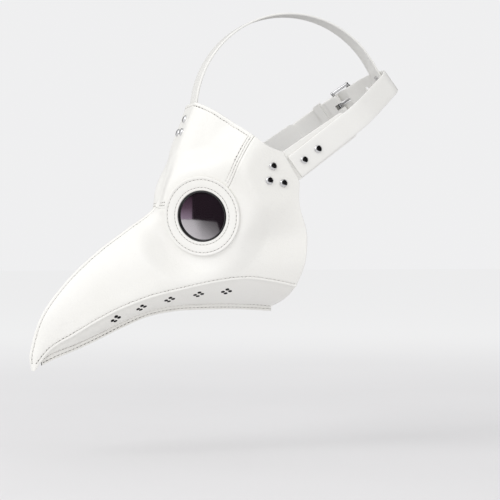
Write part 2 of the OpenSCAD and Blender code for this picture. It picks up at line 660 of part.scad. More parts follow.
module forehead_panel() color(leather_white) difference() {
    forehead_blank();
    eye_hole();
    right() eye_hole();
    for (p = forehead_spots) forehead_spot(p) post_hole();
}
module beak_side() color(leather_white) difference() {
    side_blank();
    eye_hole();
    temple_holes();
}
// Vent clusters follow the seam between two places along the beak
vent_first = 0.37;
vent_last = 0.74;
vent_u = 0.37;
module vents() {
    for (k = [0 : vent_count - 1]) {
        s = mix(vent_first, vent_last, k / (vent_count - 1));
        at = jaw_point(s, vent_u);
        along = unit(jaw_point(s + 0.01, vent_u) - at);
        across = unit(jaw_point(s, vent_u + 0.02) - at);
        out = cross(across, along);
        for (a = [0 : 90 : 270])
            aimed(at + vent_spread * (cos(a) * along + sin(a) * across) - 6 * out, out)
                cylinder(r = vent_r, h = 12);
    }
}
module beak_lower() color(leather_white) difference() {
    lower_blank();
    vents();
}
module beak_side_left() beak_side();
module beak_side_right() right() beak_side();
module beak_lower_left() beak_lower();
module beak_lower_right() right() beak_lower();

// ---- Goggles -----------------------------------------------------------------------------
ring_in_r = lip_out_r + 0.2;
ring_dish = 0.8;
module eye_ring() color(leather_white) eye_frame() rotate_extrude() polygon([
    [ring_in_r, lay_gap], [eye_ring_r, lay_gap], [eye_ring_r, eye_ring_t - 0.4],
    [eye_ring_r - 0.4, eye_ring_t], [ring_in_r + 0.4, eye_ring_t - ring_dish],
    [ring_in_r, eye_ring_t - ring_dish - 0.4]]);
// Rubber gasket: a flange in the panel's hole, a groove for the glass and a lip in the ring
groove_top = -0.4;
groove_low = groove_top - lens_t - 0.1;
module lens_gasket() color(rubber_black) eye_frame() rotate_extrude() polygon([
    [lens_sight_r, -panel_t - 0.1], [gasket_r, -panel_t - 0.1], [gasket_r, -0.05],
    [lip_out_r, -0.05], [lip_out_r, 1.5], [lip_out_r - 0.4, 1.9], [lens_sight_r + 0.3, 1.9],
    [lens_sight_r, 1.6], [lens_sight_r, groove_top], [groove_r, groove_top],
    [groove_r, groove_low], [lens_sight_r, groove_low]]);
module lens() color(smoked_glass) eye_frame()
    translate([0, 0, groove_low + 0.05]) cylinder(r = groove_r - 0.1, h = lens_t);
backing_r = eye_ring_r - 5;
module eye_backing() color(leather_white) eye_frame()
    translate([0, 0, -panel_t - lay_gap - 1.8]) difference() {
        cylinder(r = backing_r, h = 1.8);
        translate([0, 0, -1]) cylinder(r = lens_sight_r + 1, h = 4);
    }
module eye_ring_left() eye_ring();
module eye_ring_right() right() eye_ring();
module lens_gasket_left() lens_gasket();
module lens_gasket_right() right() lens_gasket();
module lens_left() lens();
module lens_right() right() lens();
module eye_backing_left() eye_backing();
module eye_backing_right() right() eye_backing();

// ---- Drawing -----------------------------------------------------------------------------
forehead_panel();
beak_side_left();
beak_side_right();
beak_lower_left();
beak_lower_right();
eye_ring_left();
eye_ring_right();
lens_gasket_left();
lens_gasket_right();
lens_left();
lens_right();
eye_backing_left();
eye_backing_right();
temple_tab_left();
temple_tab_right();
temple_rivets_left();
temple_rivets_right();
temple_rivet_backs_left();
temple_rivet_backs_right();
tab_rivets_left();
tab_rivets_right();
tab_rivet_backs_left();
tab_rivet_backs_right();
forehead_rivets();
forehead_rivet_backs();
top_strap();
back_rivets();
back_rivet_backs();
side_strap_left();
side_strap_right();
buckle_frame();
buckle_roller();
buckle_tongue();
strap_keeper();
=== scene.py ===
"""Plague doctor mask in white leathercloth.

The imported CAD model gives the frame; this script sews the visible mask round it. Shapes are
worked out in millimetres as numpy grids, with the same guide lines as the CAD model, and
become meshes in metres. +X is the wearer's left, -Y is forward along the beak, +Z is up.
"""
import math
import bpy
import numpy as np
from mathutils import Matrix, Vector


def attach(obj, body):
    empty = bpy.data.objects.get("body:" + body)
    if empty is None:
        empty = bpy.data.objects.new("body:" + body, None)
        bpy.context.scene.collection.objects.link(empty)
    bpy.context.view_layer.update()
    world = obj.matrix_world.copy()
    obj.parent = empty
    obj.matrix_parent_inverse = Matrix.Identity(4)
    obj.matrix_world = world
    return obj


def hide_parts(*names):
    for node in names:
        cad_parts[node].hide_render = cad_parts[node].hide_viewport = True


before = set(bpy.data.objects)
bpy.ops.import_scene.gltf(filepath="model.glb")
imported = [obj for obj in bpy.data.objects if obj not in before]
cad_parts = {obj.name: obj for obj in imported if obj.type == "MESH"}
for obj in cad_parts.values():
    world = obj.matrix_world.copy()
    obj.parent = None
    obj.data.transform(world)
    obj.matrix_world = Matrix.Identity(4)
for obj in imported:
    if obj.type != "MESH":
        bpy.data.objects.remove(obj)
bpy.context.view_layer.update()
MM = 0.001
SIDES = ((1, "left"), (-1, "right"))
FLIP = {1: np.array([1, 1, 1]), -1: np.array([-1, 1, 1])}

# ---- Sizes, in millimetres, as in the CAD model ---------------------------------------------
PANEL_T, LAY_GAP, FIN_H, TUCK, JAW_ROUND = 2.2, 0.15, 5.0, 8.0, 0.45
SEAM_GAP = LAY_GAP / 2
EYE_TURN, EYE_DIP = math.radians(35), math.radians(6)
RING_R, RING_T, SIGHT_R, LIP_W, RING_DISH = 38.4, 2.5, 22.9, 1.7, 0.8
VENT_R, VENT_SPREAD = 2.0, 3.5
STRAP_W, STRAP_T, STRAP_HALF, STRAP_BACK, STRAP_Z = 24.0, 2.0, 76.8, 126.0, 61.1
STRAP_TILT = math.radians(37.5)
CROWN_R = 100.0
RIVET_R, RIVET_H, POST_R = 4.0, 2.2, 1.25

# Guide lines of the left half
MIDDLE_LINE = np.array([[0, -261.5, -149.5], [0, -263, -133], [0, -252, -97], [0, -227, -63],
    [0, -196, -34], [0, -167, -12.5], [0, -139.5, 9], [0, -130, 35], [0, -121.5, 61],
    [0, -112.5, 86], [0, -103, 111]], float)
SEAM_LINE = np.array([[4.8, -259, -150.5], [8.5, -243, -130], [15, -222, -116.5],
    [22, -200, -102.5], [27.5, -176, -90], [34, -148, -79.5], [41, -118, -72],
    [47.5, -88, -65.5], [53.5, -60, -62.5], [58.5, -36, -65.5], [63, -14.5, -70]], float)
KEEL_LINE = np.array([[0, -259, -149], [0, -240, -139.5], [0, -218, -130.8],
    [0, -197, -121.5], [0, -174, -110.5], [0, -147, -99.5], [0, -118, -94.2],
    [0, -88, -93], [0, -62, -93], [0, -40, -93.8], [0, -20, -95.3]], float)
RIM_LINE = np.array([[-34, -94, 105], [0, -103, 111], [34, -94, 105], [60, -68, 83],
    [75, -40, 57], [80, -19, 27], [79, -10, -8], [75, -9, -43], [63, -14.5, -70]], float)
BROW_EDGE = np.array([[0, -103, 111], [18, -100.5, 109.6], [37, -91.5, 102.5],
    [56, -71, 85.5], [71, -50, 66.5], [79, -33, 59.5]], float)
CHEEK_EDGE = np.array([[79, -16, 32], [79, -16, 9], [78, -8.7, -18], [74.5, -8.9, -46],
    [63, -14.5, -70]], float)
ROOT_S, CORNER_S, BROW_T = 0.6, 0.76, 0.31
CUT_START, CUT_END = BROW_T + (1 - BROW_T) * 3 / 16, BROW_T + (1 - BROW_T) * 6 / 16
EYE_MID = np.array([43.5, -103.2, -1.4])
EYE_AXIS = np.array([math.cos(EYE_DIP) * math.cos(EYE_TURN),
    -math.cos(EYE_DIP) * math.sin(EYE_TURN), -math.sin(EYE_DIP)])
TEMPLE_MID = np.array([79.0, -40.0, 38.0])
BROW = MIDDLE_LINE[10]
BROW_DIR = (BROW - MIDDLE_LINE[9]) / np.linalg.norm(BROW - MIDDLE_LINE[9])
BROW_OUT = np.array([0, -BROW_DIR[2], BROW_DIR[1]])
BROW_TAIL = 40.0
# Distances between which the flat places fade into the free face: behind the crown strap
# across and down, at the temple, round the goggle and over the nose
BROW_FADE = STRAP_W / 2 + 1, STRAP_W / 2 + 24
TAIL_FADE = BROW_TAIL + 2, BROW_TAIL + 40
TEMPLE_FADE, EYE_FADE, NOSE_FADE = (26, 64), (RING_R + 2, RING_R + 28), (0, 17)


# ---- Curves and the face surface ------------------------------------------------------------
def unit(v):
    """Vectors scaled to length 1."""
    return v / np.maximum(np.linalg.norm(v, axis=-1, keepdims=True), 1e-12)


def mix(a, b, f):
    """a at f = 0 and b at f = 1, on a straight line."""
    return a + (b - a) * f


def spline(points, v):
    """Smooth curve through the points (Catmull-Rom), v from 0 to 1 over the whole list."""
    v = np.asarray(v, float)
    last = len(points) - 1
    a = np.clip(v * last, 0, last - 1e-4)
    i = np.floor(a).astype(int)
    f = (a - i)[..., None]
    q = np.vstack([2 * points[0] - points[1], points, 2 * points[-1] - points[-2]])
    p0, p1, p2, p3 = q[i], q[i + 1], q[i + 2], q[i + 3]
    return p1 + 0.5 * f * (p2 - p0 + f * (2 * p0 - 5 * p1 + 4 * p2 - p3
        + f * (3 * (p1 - p2) + p3 - p0)))


def rise(v, low, high):
    """0 below low, 1 above high, and 3f^2 - 2f^3 between."""
    f = np.clip((v - low) / (high - low), 0, 1)
    return f * f * (3 - 2 * f)


def rim(t):
    """Smooth rear rim, t from the middle line to the cheek."""
    return spline(RIM_LINE, (1 + np.asarray(t, float) * 7) / 8)


def cut_rim(t):
    """Cut edge of the rim: brow curve, straight temple cut, cheek curve."""
    t = np.asarray(t, float)
    f = np.clip((t - CUT_START) / (CUT_END - CUT_START), 0, 1)[..., None]
    brow = spline(BROW_EDGE, np.clip(t / CUT_START, 0, 1))
    cheek = spline(CHEEK_EDGE, np.clip((t - CUT_END) / (1 - CUT_END), 0, 1))
    cut = mix(BROW_EDGE[5], CHEEK_EDGE[0], f)
    return np.where((t < CUT_START)[..., None], brow,
        np.where((t < CUT_END)[..., None], cut, cheek))


def paired(s, t):
    """Two shares as arrays of one shape."""
    return np.broadcast_arrays(np.asarray(s, float), np.asarray(t, float))


def eye_reach(p):
    """Height of points above the left goggle's plane, and distance from its axis."""
    off = (p - EYE_MID) @ EYE_AXIS
    return off, np.linalg.norm(p - EYE_MID - off[..., None] * EYE_AXIS, axis=-1)


def plain_face(s, t):
    """Left half before it is flattened: the straight line from middle line to seam line, plus
    the rim's bow, turned and shrunk to that line and weakened towards the beak's tip."""
    s, t = paired(s, t)
    top, low = spline(MIDDLE_LINE, s), spline(SEAM_LINE, s)
    e = rim(1.0) - rim(0.0)
    off = rim(t) - rim(0.0) - t[..., None] * e
    m = low - top
    size2 = e[1] ** 2 + e[2] ** 2
    a = (m[..., 1] * e[1] + m[..., 2] * e[2]) / size2
    b = (m[..., 2] * e[1] - m[..., 1] * e[2]) / size2
    bowed = np.stack([0 * a, a * off[..., 1] - b * off[..., 2],
        b * off[..., 1] + a * off[..., 2]], -1)
    bow = (0.3 + 0.7 * rise(s, 0.58, 0.85))[..., None]
    side_bow = 0.05 + 0.95 * np.clip(s, 0, 1) ** 2.4
    p = mix(top, low, t[..., None]) + bow * bowed
    p = p + np.stack([side_bow * off[..., 0], 0 * s, 0 * s], -1)
    return p + rise(s, 0.8, 1)[..., None] * (cut_rim(t) - rim(t))


def face_point(s, t):
    """Outer face, s from tip to rim and t from middle line to seam, t below 0 on the right:
    the plain face, moved onto a plane behind the crown strap, at the temple and round the
    goggle, each with a weight that fades with distance."""
    s, t = paired(s, t)
    p = plain_face(s, np.abs(t))
    off = (p - BROW) @ BROW_OUT
    down = (BROW - p) @ BROW_DIR
    f = (1 - rise(p[..., 0], *BROW_FADE)) * (1 - rise(down, *TAIL_FADE))
    p = p - (f * off)[..., None] * BROW_OUT
    way = np.hypot(p[..., 1] - TEMPLE_MID[1], p[..., 2] - TEMPLE_MID[2])
    f = 1 - rise(way, *TEMPLE_FADE)
    p[..., 0] = mix(p[..., 0], TEMPLE_MID[0], f)
    off, way = eye_reach(p)
    f = (1 - rise(way, *EYE_FADE)) * rise(p[..., 0], *NOSE_FADE)
    p = p - (f * off)[..., None] * EYE_AXIS
    p[..., 0] = np.where(t < 0, -p[..., 0], p[..., 0])
    return p


def face_slopes(s, t, low=0.0):
    """Change of the face per unit of s and of t, by differences over 0.004."""
    h = 0.004
    s, t = paired(s, t)
    s1, s0 = np.minimum(1, s + h), np.maximum(0, s - h)
    t1, t0 = np.minimum(1, t + h), np.maximum(low, t - h)
    along = (face_point(s1, t) - face_point(s0, t)) / (s1 - s0)[..., None]
    across = (face_point(s, t1) - face_point(s, t0)) / (t1 - t0)[..., None]
    return along, across


def face_normal(s, t, low=0.0):
    """Outward normal of the face: across times along."""
    along, across = face_slopes(s, t, low)
    return unit(np.cross(across, along))


def climb_t(s):
    """Share t of the forehead seam above the goggle: a parabola towards the brow."""
    return BROW_T + 0.062 * ((1 - s) / 0.17) ** 2


def side_start(s):
    """Share t where the side panel starts: 0 on the beak, then the forehead seam."""
    s = np.asarray(s, float)
    leave = climb_t(CORNER_S) * (np.clip(s - ROOT_S, 0, None) / (CORNER_S - ROOT_S)) ** (2 / 3)
    return np.where(s <= ROOT_S, 0, np.where(s < CORNER_S, leave, climb_t(s)))


def wall(s):
    """Wall of the shell, thinner towards the tip."""
    return PANEL_T * (0.3 + 0.7 * rise(np.asarray(s, float), -0.02, 0.12))


# ---- Grids ----------------------------------------------------------------------------------
EDGE_STEPS = np.array([0, 0.12, 0.3, 0.6, 1.0, 1.5, 2.0, 2.5, 3.0, 3.5, 4.0, 4.6, 5.3, 6.2,
    7.5])
FACE_LEN = 265


def run_along(p):
    """Length along a line of points, or along each row of a grid, from 0 at its start."""
    steps = np.linalg.norm(np.diff(p, axis=-2), axis=-1)
    return np.concatenate([np.zeros_like(steps[..., :1]), np.cumsum(steps, -1)], -1)


def spread_columns(place, starts, ends, middle, steps=EDGE_STEPS):
    """Shares t of a grid's columns, row by row: close together beside both edges and even
    between them, measured along the surface. place(row shares) gives points of every row."""
    f = np.linspace(0, 1, 161)
    t = starts[:, None] + (ends - starts)[:, None] * f
    run = run_along(place(t))
    rows = []
    for k in range(len(t)):
        size = run[k, -1]
        e = steps * min(1, size / (2.5 * steps[-1]))
        at = np.concatenate([e, np.linspace(e[-1], size - e[-1], middle + 2)[1:-1],
            size - e[::-1]])
        rows.append(np.interp(at, run[k], t[k]))
    return np.array(rows)


def row_values(start, end, step, near_start=False, near_end=True):
    """Values of s from start to end, step millimetres apart and closer beside the ends."""
    scale = 1 / FACE_LEN
    steps = EDGE_STEPS * scale
    a = start + steps if near_start else np.array([start])
    b = end - steps[::-1] if near_end else np.array([end])
    n = max(2, int((b[0] - a[-1]) / (step * scale)))
    return np.concatenate([a, np.linspace(a[-1], b[0], n + 1)[1:-1], b])


def grid_normals(p):
    """Normals of a grid from each point's neighbours: across times along."""
    return unit(np.cross(np.gradient(p, axis=1), np.gradient(p, axis=0)))


def line_distance(p, line):
    """Shortest distance from each point to a polyline."""
    q = p.reshape(-1, 1, 3)
    a, b = line[:-1], line[1:]
    ab = b - a
    best = np.full(len(q), 1e9)
    for k in range(0, len(a), 40):
        d, e = q - a[k:k + 40], ab[k:k + 40]
        f = np.clip(np.sum(d * e, -1) / np.maximum(np.sum(e ** 2, -1), 1e-9), 0, 1)
        best = np.minimum(best, np.linalg.norm(d - f[..., None] * e, axis=-1).min(1))
    return best.reshape(p.shape[:-1])


def round_drop(d, r):
    """Depth below the surface of a round edge of radius r, at distance d from the edge."""
    x = np.clip(r - d, 0, r)
    return r - np.sqrt(np.maximum(r * r - x * x, 0))


def dip(d, at, width):
    """Bell curve of height 1 round a distance."""
    return np.exp(-((d - at) / width) ** 2)


def square_to(v, ahead):
    """Vectors turned square to the directions ahead, of length 1."""
    return unit(v - np.sum(v * ahead, -1, keepdims=True) * ahead)


def soft_waves(p, size, seed):
    """Slow waves of about the given size in millimetres, between -1 and 1: a sum of sines in
    random directions."""
    rng = np.random.RandomState(seed)
    total = 0
    for _ in range(7):
        k = unit(rng.normal(size=3)) * 2 * math.pi / (size * rng.uniform(0.7, 1.5))
        total = total + np.sin(p @ k + rng.uniform(0, 6.28))
    return total / 4


# ---- Meshes ---------------------------------------------------------------------------------
SMOOTH_ANGLE = 38


def quads(rows, cols, wrap_rows=False, wrap_cols=False):
    """Faces of a grid of points, seen from the side that across times along points to."""
    i = np.arange(rows if wrap_rows else rows - 1)[:, None]
    j = np.arange(cols if wrap_cols else cols - 1)[None, :]
    i1, j1 = (i + 1) % rows, (j + 1) % cols
    f = np.stack([i * cols + j, i * cols + j1, i1 * cols + j1, i1 * cols + j], -1)
    return f.reshape(-1, 4)


def tube_faces(rows, cols):
    """Faces of a tube of rings with a cap at both ends."""
    last = (rows - 1) * cols
    caps = [list(range(cols))[::-1], list(range(last, last + cols))]
    return quads(rows, cols, wrap_cols=True).tolist() + caps


def joined(parts):
    """Several (points, faces) as one."""
    points, faces, base = [], [], 0
    for p, f in parts:
        points.append(p)
        faces += [[int(v) + base for v in q] for q in f]
        base += len(p)
    return np.concatenate(points), faces


def new_object(name, points, faces, materials):
    """Mesh object in the scene, from points in metres."""
    mesh = bpy.data.meshes.new(name)
    mesh.from_pydata(points, [], faces)
    for m in materials:
        mesh.materials.append(m)
    obj = bpy.data.objects.new(name, mesh)
    bpy.context.scene.collection.objects.link(obj)
    return obj


def make_piece(name, points, faces, materials, body="mask", nodes=(),
               face_material=None, angle=SMOOTH_ANGLE):
    """Mesh object from points in millimetres and a list of faces, riding on a body."""
    obj = new_object(name, (np.asarray(points) * MM).tolist(),
        [list(map(int, f)) for f in faces], materials)
    mesh = obj.data
    if face_material is not None:
        mesh.polygons.foreach_set("material_index", np.asarray(face_material, np.int32))
    mesh.polygons.foreach_set("use_smooth", np.ones(len(mesh.polygons), bool))
    mesh.update()
    mesh.set_sharp_from_angle(angle=math.radians(angle))
    if nodes:
        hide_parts(*nodes)
    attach(obj, body)
    return obj


def shell_piece(name, outer, inner, materials, nodes):
    """Closed shell between two grids of the same size, with the inner side's own lining."""
    rows, cols = outer.shape[:2]
    count = rows * cols
    front = quads(rows, cols)
    back = front[:, ::-1] + count
    loop = np.concatenate([np.arange(cols), np.arange(1, rows) * cols + cols - 1,
        rows * cols - 1 - np.arange(1, cols), (rows - 1 - np.arange(1, rows - 1)) * cols])
    nxt = np.roll(loop, -1)
    edge = np.stack([loop, loop + count, nxt + count, nxt], -1)
    points = np.concatenate([outer.reshape(-1, 3), inner.reshape(-1, 3)])
    faces = np.concatenate([front, back, edge])
    lining = np.zeros(len(faces), int)
    lining[len(front):len(front) + len(back)] = 1
    return make_piece(name, points, faces, materials, nodes=nodes, face_material=lining)


def mirrored(p):
    """The other side of the mask: X changes sign, and rows run the other way round."""
    return (p * FLIP[-1])[:, ::-1]


def punch(obj, cutters, wall_slot=0):
    """Cuts holes in a piece: cutters is a list of (points, faces) of closed solids, and the
    walls of the holes take the piece's material slot wall_slot."""
    points, faces = joined(cutters)
    tool = new_object("punch", (points * MM).tolist(), faces, obj.data.materials)
    mesh = tool.data
    mesh.polygons.foreach_set("material_index", np.full(len(faces), wall_slot, np.int32))
    cut = obj.modifiers.new("punch", "BOOLEAN")
    cut.operation, cut.solver, cut.object = "DIFFERENCE", "MANIFOLD", tool
    depsgraph = bpy.context.evaluated_depsgraph_get()
    done = bpy.data.meshes.new_from_object(obj.evaluated_get(depsgraph))
    obj.modifiers.remove(cut)
    before = len(obj.data.polygons)
    if len(done.polygons) > before // 2:
        obj.data = done
        done.set_sharp_from_angle(angle=math.radians(SMOOTH_ANGLE))
    else:
        print("punch left", obj.name, "unchanged")
    bpy.data.objects.remove(tool)
    bpy.data.meshes.remove(mesh)


def rod(start, end, r, sides):
    """Closed cylinder between two points."""
    start, end = np.array(start, float), np.array(end, float)
    axis = unit(end - start)
    u = unit(np.cross(axis, [0.3, 0.9, 0.2] if abs(axis[1]) < 0.8 else [1, 0, 0]))
    v = np.cross(axis, u)
    a = np.linspace(0, 2 * math.pi, sides, endpoint=False)[:, None]
    ring = np.cos(a) * u + np.sin(a) * v
    return np.concatenate([start + r * ring, end + r * ring]), tube_faces(2, sides)


def about(axis):
    """Two directions square to an axis and to each other."""
    u = unit(np.cross([0, 0, 1.0] if abs(axis[2]) < 0.9 else [0, 1.0, 0], axis))
    return u, np.cross(axis, u)


def spun(profile, at, axis, sides, closed=False):
    """Grid of a profile of (radius, height) turned about an axis; rows follow the angle."""
    u, v = about(axis)
    a = np.linspace(0, 2 * math.pi, sides, endpoint=False)[:, None, None]
    r, h = profile[None, :, :1], profile[None, :, 1:]
    p = at + r * (np.cos(a) * u + np.sin(a) * v) + h * axis
    return p.reshape(-1, 3), quads(sides, len(profile), wrap_rows=True, wrap_cols=closed)


def arc(cx, cy, r, a0, a1, n):
    """Points of an arc from angle a0 to a1, in degrees."""
    a = np.radians(np.linspace(a0, a1, n))
    return np.stack([cx + r * np.cos(a), cy + r * np.sin(a)], -1)


# ---- Material groups ------------------------------------------------------------------------
def new_group(name, inputs, outputs):
    """Empty shader group with named sockets; inputs are (name, type, default)."""
    g = bpy.data.node_groups.new(name, "ShaderNodeTree")
    for n, kind, value in inputs:
        s = g.interface.new_socket(n, in_out="INPUT", socket_type=kind)
        if value is not None:
            s.default_value = value
    for n, kind in outputs:
        g.interface.new_socket(n, in_out="OUTPUT", socket_type=kind)
    return g, g.nodes.new("NodeGroupInput"), g.nodes.new("NodeGroupOutput")


def add(tree, kind, links=(), **values):
    """New node with its properties set and its inputs linked or given values."""
    n = tree.nodes.new(kind)
    for k, v in values.items():
        setattr(n, k, v)
    for socket, source in links:
        if hasattr(source, "is_output"):
            tree.links.new(source, n.inputs[socket])
        else:
            n.inputs[socket].default_value = source
    return n


def math_node(tree, op, *values):
    """One step of arithmetic."""
    return add(tree, "ShaderNodeMath", enumerate(values), operation=op).outputs[0]


def noise(tree, where, **values):
    """Noise texture at a vector, its other inputs by name."""
    return add(tree, "ShaderNodeTexNoise", [("Vector", where), *values.items()])


def bands(tree, where, way, **values):
    """Share of a striped texture at a vector, its other inputs by name."""
    return add(tree, "ShaderNodeTexWave", [("Vector", where), *values.items()],
        bands_direction=way).outputs["Fac"]


def grain_group():
    """Pebbled leather grain: cells about Cell across, with fine wrinkles between them and
    slow creases. Height is about 0 to 1, Pores is dark in the hollows."""
    g, i, o = new_group("leather_grain", [("Vector", "NodeSocketVector", None),
        ("Cell", "NodeSocketFloat", 1.1), ("Creases", "NodeSocketFloat", 0.3)],
        [("Height", "NodeSocketFloat"), ("Pores", "NodeSocketFloat")])
    scale = math_node(g, "DIVIDE", 1000.0, i.outputs["Cell"])
    warp = noise(g, i.outputs["Vector"], Scale=420.0, Detail=2.0)
    shift = add(g, "ShaderNodeVectorMath", [(0, warp.outputs["Color"]), (1, (0.0006,) * 3)],
        operation="MULTIPLY")
    where = add(g, "ShaderNodeVectorMath", [(0, i.outputs["Vector"]), (1, shift.outputs[0])],
        operation="ADD")
    cells = add(g, "ShaderNodeTexVoronoi", [("Vector", where.outputs[0]), ("Scale", scale)],
        feature="SMOOTH_F1")
    fine = noise(g, where.outputs[0], Scale=math_node(g, "MULTIPLY", scale, 2.6), Detail=3.0)
    slow = noise(g, i.outputs["Vector"], Scale=46.0, Detail=3.0, Distortion=0.6)
    crease = math_node(g, "MULTIPLY", slow.outputs["Fac"], i.outputs["Creases"])
    dome = math_node(g, "POWER", cells.outputs["Distance"], 1.6)
    dome = math_node(g, "MULTIPLY", dome, -0.55)
    height = math_node(g, "ADD", dome, math_node(g, "MULTIPLY", fine.outputs["Fac"], 0.35))
    g.links.new(math_node(g, "ADD", height, crease), o.inputs["Height"])
    pores = add(g, "ShaderNodeMapRange", [("Value", cells.outputs["Distance"]),
        ("From Min", 0.55), ("From Max", 0.9)])
    g.links.new(pores.outputs[0], o.inputs["Pores"])
    return g


def handling_group():
    """Traces of handling: broad cloudy patches and small smudges, both about 0 to 1."""
    g, i, o = new_group("handling", [("Vector", "NodeSocketVector", None)],
        [("Patches", "NodeSocketFloat"), ("Smudges", "NodeSocketFloat")])
    broad = noise(g, i.outputs["Vector"], Scale=13.0, Detail=4.0, Roughness=0.55)
    small = noise(g, i.outputs["Vector"], Scale=95.0, Detail=5.0, Roughness=0.7)
    for source, low, high, out in ((broad, 0.35, 0.7, "Patches"), (small, 0.5, 0.8, "Smudges")):
        m = add(g, "ShaderNodeMapRange", [("Value", source.outputs["Fac"]), ("From Min", low),
            ("From Max", high)])
        g.links.new(m.outputs[0], o.inputs[out])
    return g


def material(name, **values):
    """New material; returns it with its tree, its Principled shader and object coordinates."""
    m = bpy.data.materials.new(name)
    m.use_nodes = True
    tree = m.node_tree
    shader = tree.nodes["Principled BSDF"]
    for k, v in values.items():
        shader.inputs[k.replace("_", " ")].default_value = v
    return m, tree, shader, tree.nodes.new("ShaderNodeTexCoord").outputs["Object"]


def place_group(tree, group, where, **values):
    """A group node at a vector, its other inputs by name."""
    return add(tree, "ShaderNodeGroup", [("Vector", where), *values.items()], node_tree=group)


def blend_colours(tree, fac, a, b):
    """Colour a where fac is 0 and b where it is 1."""
    links = [(k, c if hasattr(c, "is_output") else (*c, 1)) for k, c in ((6, a), (7, b))]
    return add(tree, "ShaderNodeMix", [(0, fac), *links], data_type="RGBA").outputs[2]


def paint(tree, shader, fac, a, b):
    """Base colour of a shader: a where fac is 0 and b where it is 1."""
    tree.links.new(blend_colours(tree, fac, a, b), shader.inputs["Base Color"])


def roughen(tree, shader, marks, share, base):
    """Roughness of a shader: a base value, and a share of some marks on top."""
    tree.links.new(math_node(tree, "MULTIPLY_ADD", marks, share, base),
        shader.inputs["Roughness"])


def bump(tree, shader, height, distance):
    """Bump of the given depth in metres on a shader."""
    b = add(tree, "ShaderNodeBump", [("Height", height), ("Distance", distance)])
    tree.links.new(b.outputs[0], shader.inputs["Normal"])


GRAIN, HANDLING = grain_group(), handling_group()


def leather(name, colour, shade, rough, cell, depth, creases):
    """White leathercloth: grained bump, faint warmer patches, roughness that follows both."""
    m, tree, shader, where = material(name, Sheen_Weight=0.05, Specular_IOR_Level=0.42)
    grain = place_group(tree, GRAIN, where, Cell=cell, Creases=creases)
    marks = place_group(tree, HANDLING, where)
    base = blend_colours(tree, math_node(tree, "MULTIPLY", marks.outputs["Patches"], 0.5),
        colour, shade)
    paint(tree, shader, math_node(tree, "MULTIPLY", grain.outputs["Pores"], 0.12), base,
        tuple(0.72 * c for c in shade))
    r = math_node(tree, "MULTIPLY_ADD", marks.outputs["Smudges"], 0.08, rough)
    roughen(tree, shader, grain.outputs["Pores"], 0.1, r)
    bump(tree, shader, grain.outputs["Height"], depth)
    return m


def backing_and_hole_shade_material():
    """Dark knitted backing of the leathercloth: two crossed sets of fine ribs. It also covers the
    walls of the vent holes, partly as the backing's own colour and partly as painted shade.
    """
    m, tree, shader, where = material("dark_backing", Roughness=0.92, Sheen_Weight=0.25)
    knit = math_node(tree, "MULTIPLY", *(bands(tree, where, way, Scale=520.0, Distortion=0.7,
        Detail=1.0) for way in ("Z", "Y")))
    paint(tree, shader, knit, (0.018, 0.018, 0.02), (0.05, 0.05, 0.055))
    bump(tree, shader, knit, 0.00025)
    return m


def thread_material():
    """White waxed thread: fine slanting strands."""
    m, tree, shader, where = material("white_thread", Roughness=0.6)
    strands = bands(tree, where, "DIAGONAL", Scale=900.0, Distortion=0.4)
    paint(tree, shader, strands, (0.62, 0.6, 0.56), (0.86, 0.85, 0.82))
    bump(tree, shader, strands, 0.00008)
    return m


def needle_shade_material():
    """Painted shade of the needle holes: warm grey discs, darker in small specks."""
    m, tree, shader, where = material("needle_holes", Roughness=0.9, Specular_IOR_Level=0.1)
    specks = noise(tree, where, Scale=900.0)
    paint(tree, shader, specks.outputs["Fac"], (0.09, 0.085, 0.08), (0.2, 0.19, 0.17))
    return m


def rubber_material():
    """Black rubber with a dull bloom."""
    m, tree, shader, where = material("black_rubber", Specular_IOR_Level=0.5)
    marks = place_group(tree, HANDLING, where)
    paint(tree, shader, marks.outputs["Smudges"], (0.006, 0.006, 0.007),
        (0.022, 0.022, 0.024))
    roughen(tree, shader, marks.outputs["Patches"], 0.15, 0.3)
    return m


def lens_material():
    """Smoked purple glass, a little lighter in slow clouds, with faint wiping marks."""
    m, tree, shader, where = material("smoked_glass", Transmission_Weight=0.2, IOR=1.9,
        Coat_Weight=1.0, Coat_Roughness=0.02, Coat_IOR=1.8)
    marks = place_group(tree, HANDLING, where)
    paint(tree, shader, marks.outputs["Patches"], (0.012, 0.007, 0.011),
        (0.022, 0.012, 0.019))
    roughen(tree, shader, marks.outputs["Smudges"], 0.05, 0.03)
    return m


def metal_material(name, colour, rough, scratch):
    """Polished metal with fine rubbed marks that vary its roughness."""
    m, tree, shader, where = material(name, Metallic=1.0)
    marks = place_group(tree, HANDLING, where)
    rub = noise(tree, where, Scale=1500.0, Detail=4.0)
    paint(tree, shader, marks.outputs["Smudges"], colour, tuple(0.7 * c for c in colour))
    r = math_node(tree, "MULTIPLY_ADD", rub.outputs["Fac"], scratch, rough)
    roughen(tree, shader, marks.outputs["Patches"], 0.06, r)
    bump(tree, shader, rub.outputs["Fac"], 0.00001)
    return m


PANEL_LEATHER = leather("white_leathercloth", (0.88, 0.872, 0.842), (0.84, 0.828, 0.785),
    0.42, 1.15, 0.00016, 0.5)
STRAP_LEATHER = leather("white_strap_leather", (0.88, 0.873, 0.848), (0.83, 0.818, 0.78),
    0.36, 0.95, 0.00010, 0.3)
LINING_AND_HOLE_SHADE, THREAD, NEEDLE_SHADE = backing_and_hole_shade_material(), thread_material(), needle_shade_material()
RUBBER, LENS = rubber_material(), lens_material()
RIVET_METAL = metal_material("polished_nickel", (0.72, 0.72, 0.73), 0.07, 0.05)
BUCKLE_METAL = metal_material("bright_nickel", (0.66, 0.66, 0.67), 0.12, 0.08)

# ---- Seams of the left half, as shares (s, t) -----------------------------------------------
def along_shares(s, t, step=1.0):
    """Shares of a curve on the face at even steps in millimetres."""
    run = run_along(face_point(s, t))
    at = np.linspace(0, run[-1], max(2, int(run[-1] / step) + 1))
    return np.interp(at, run, s), np.interp(at, run, t)


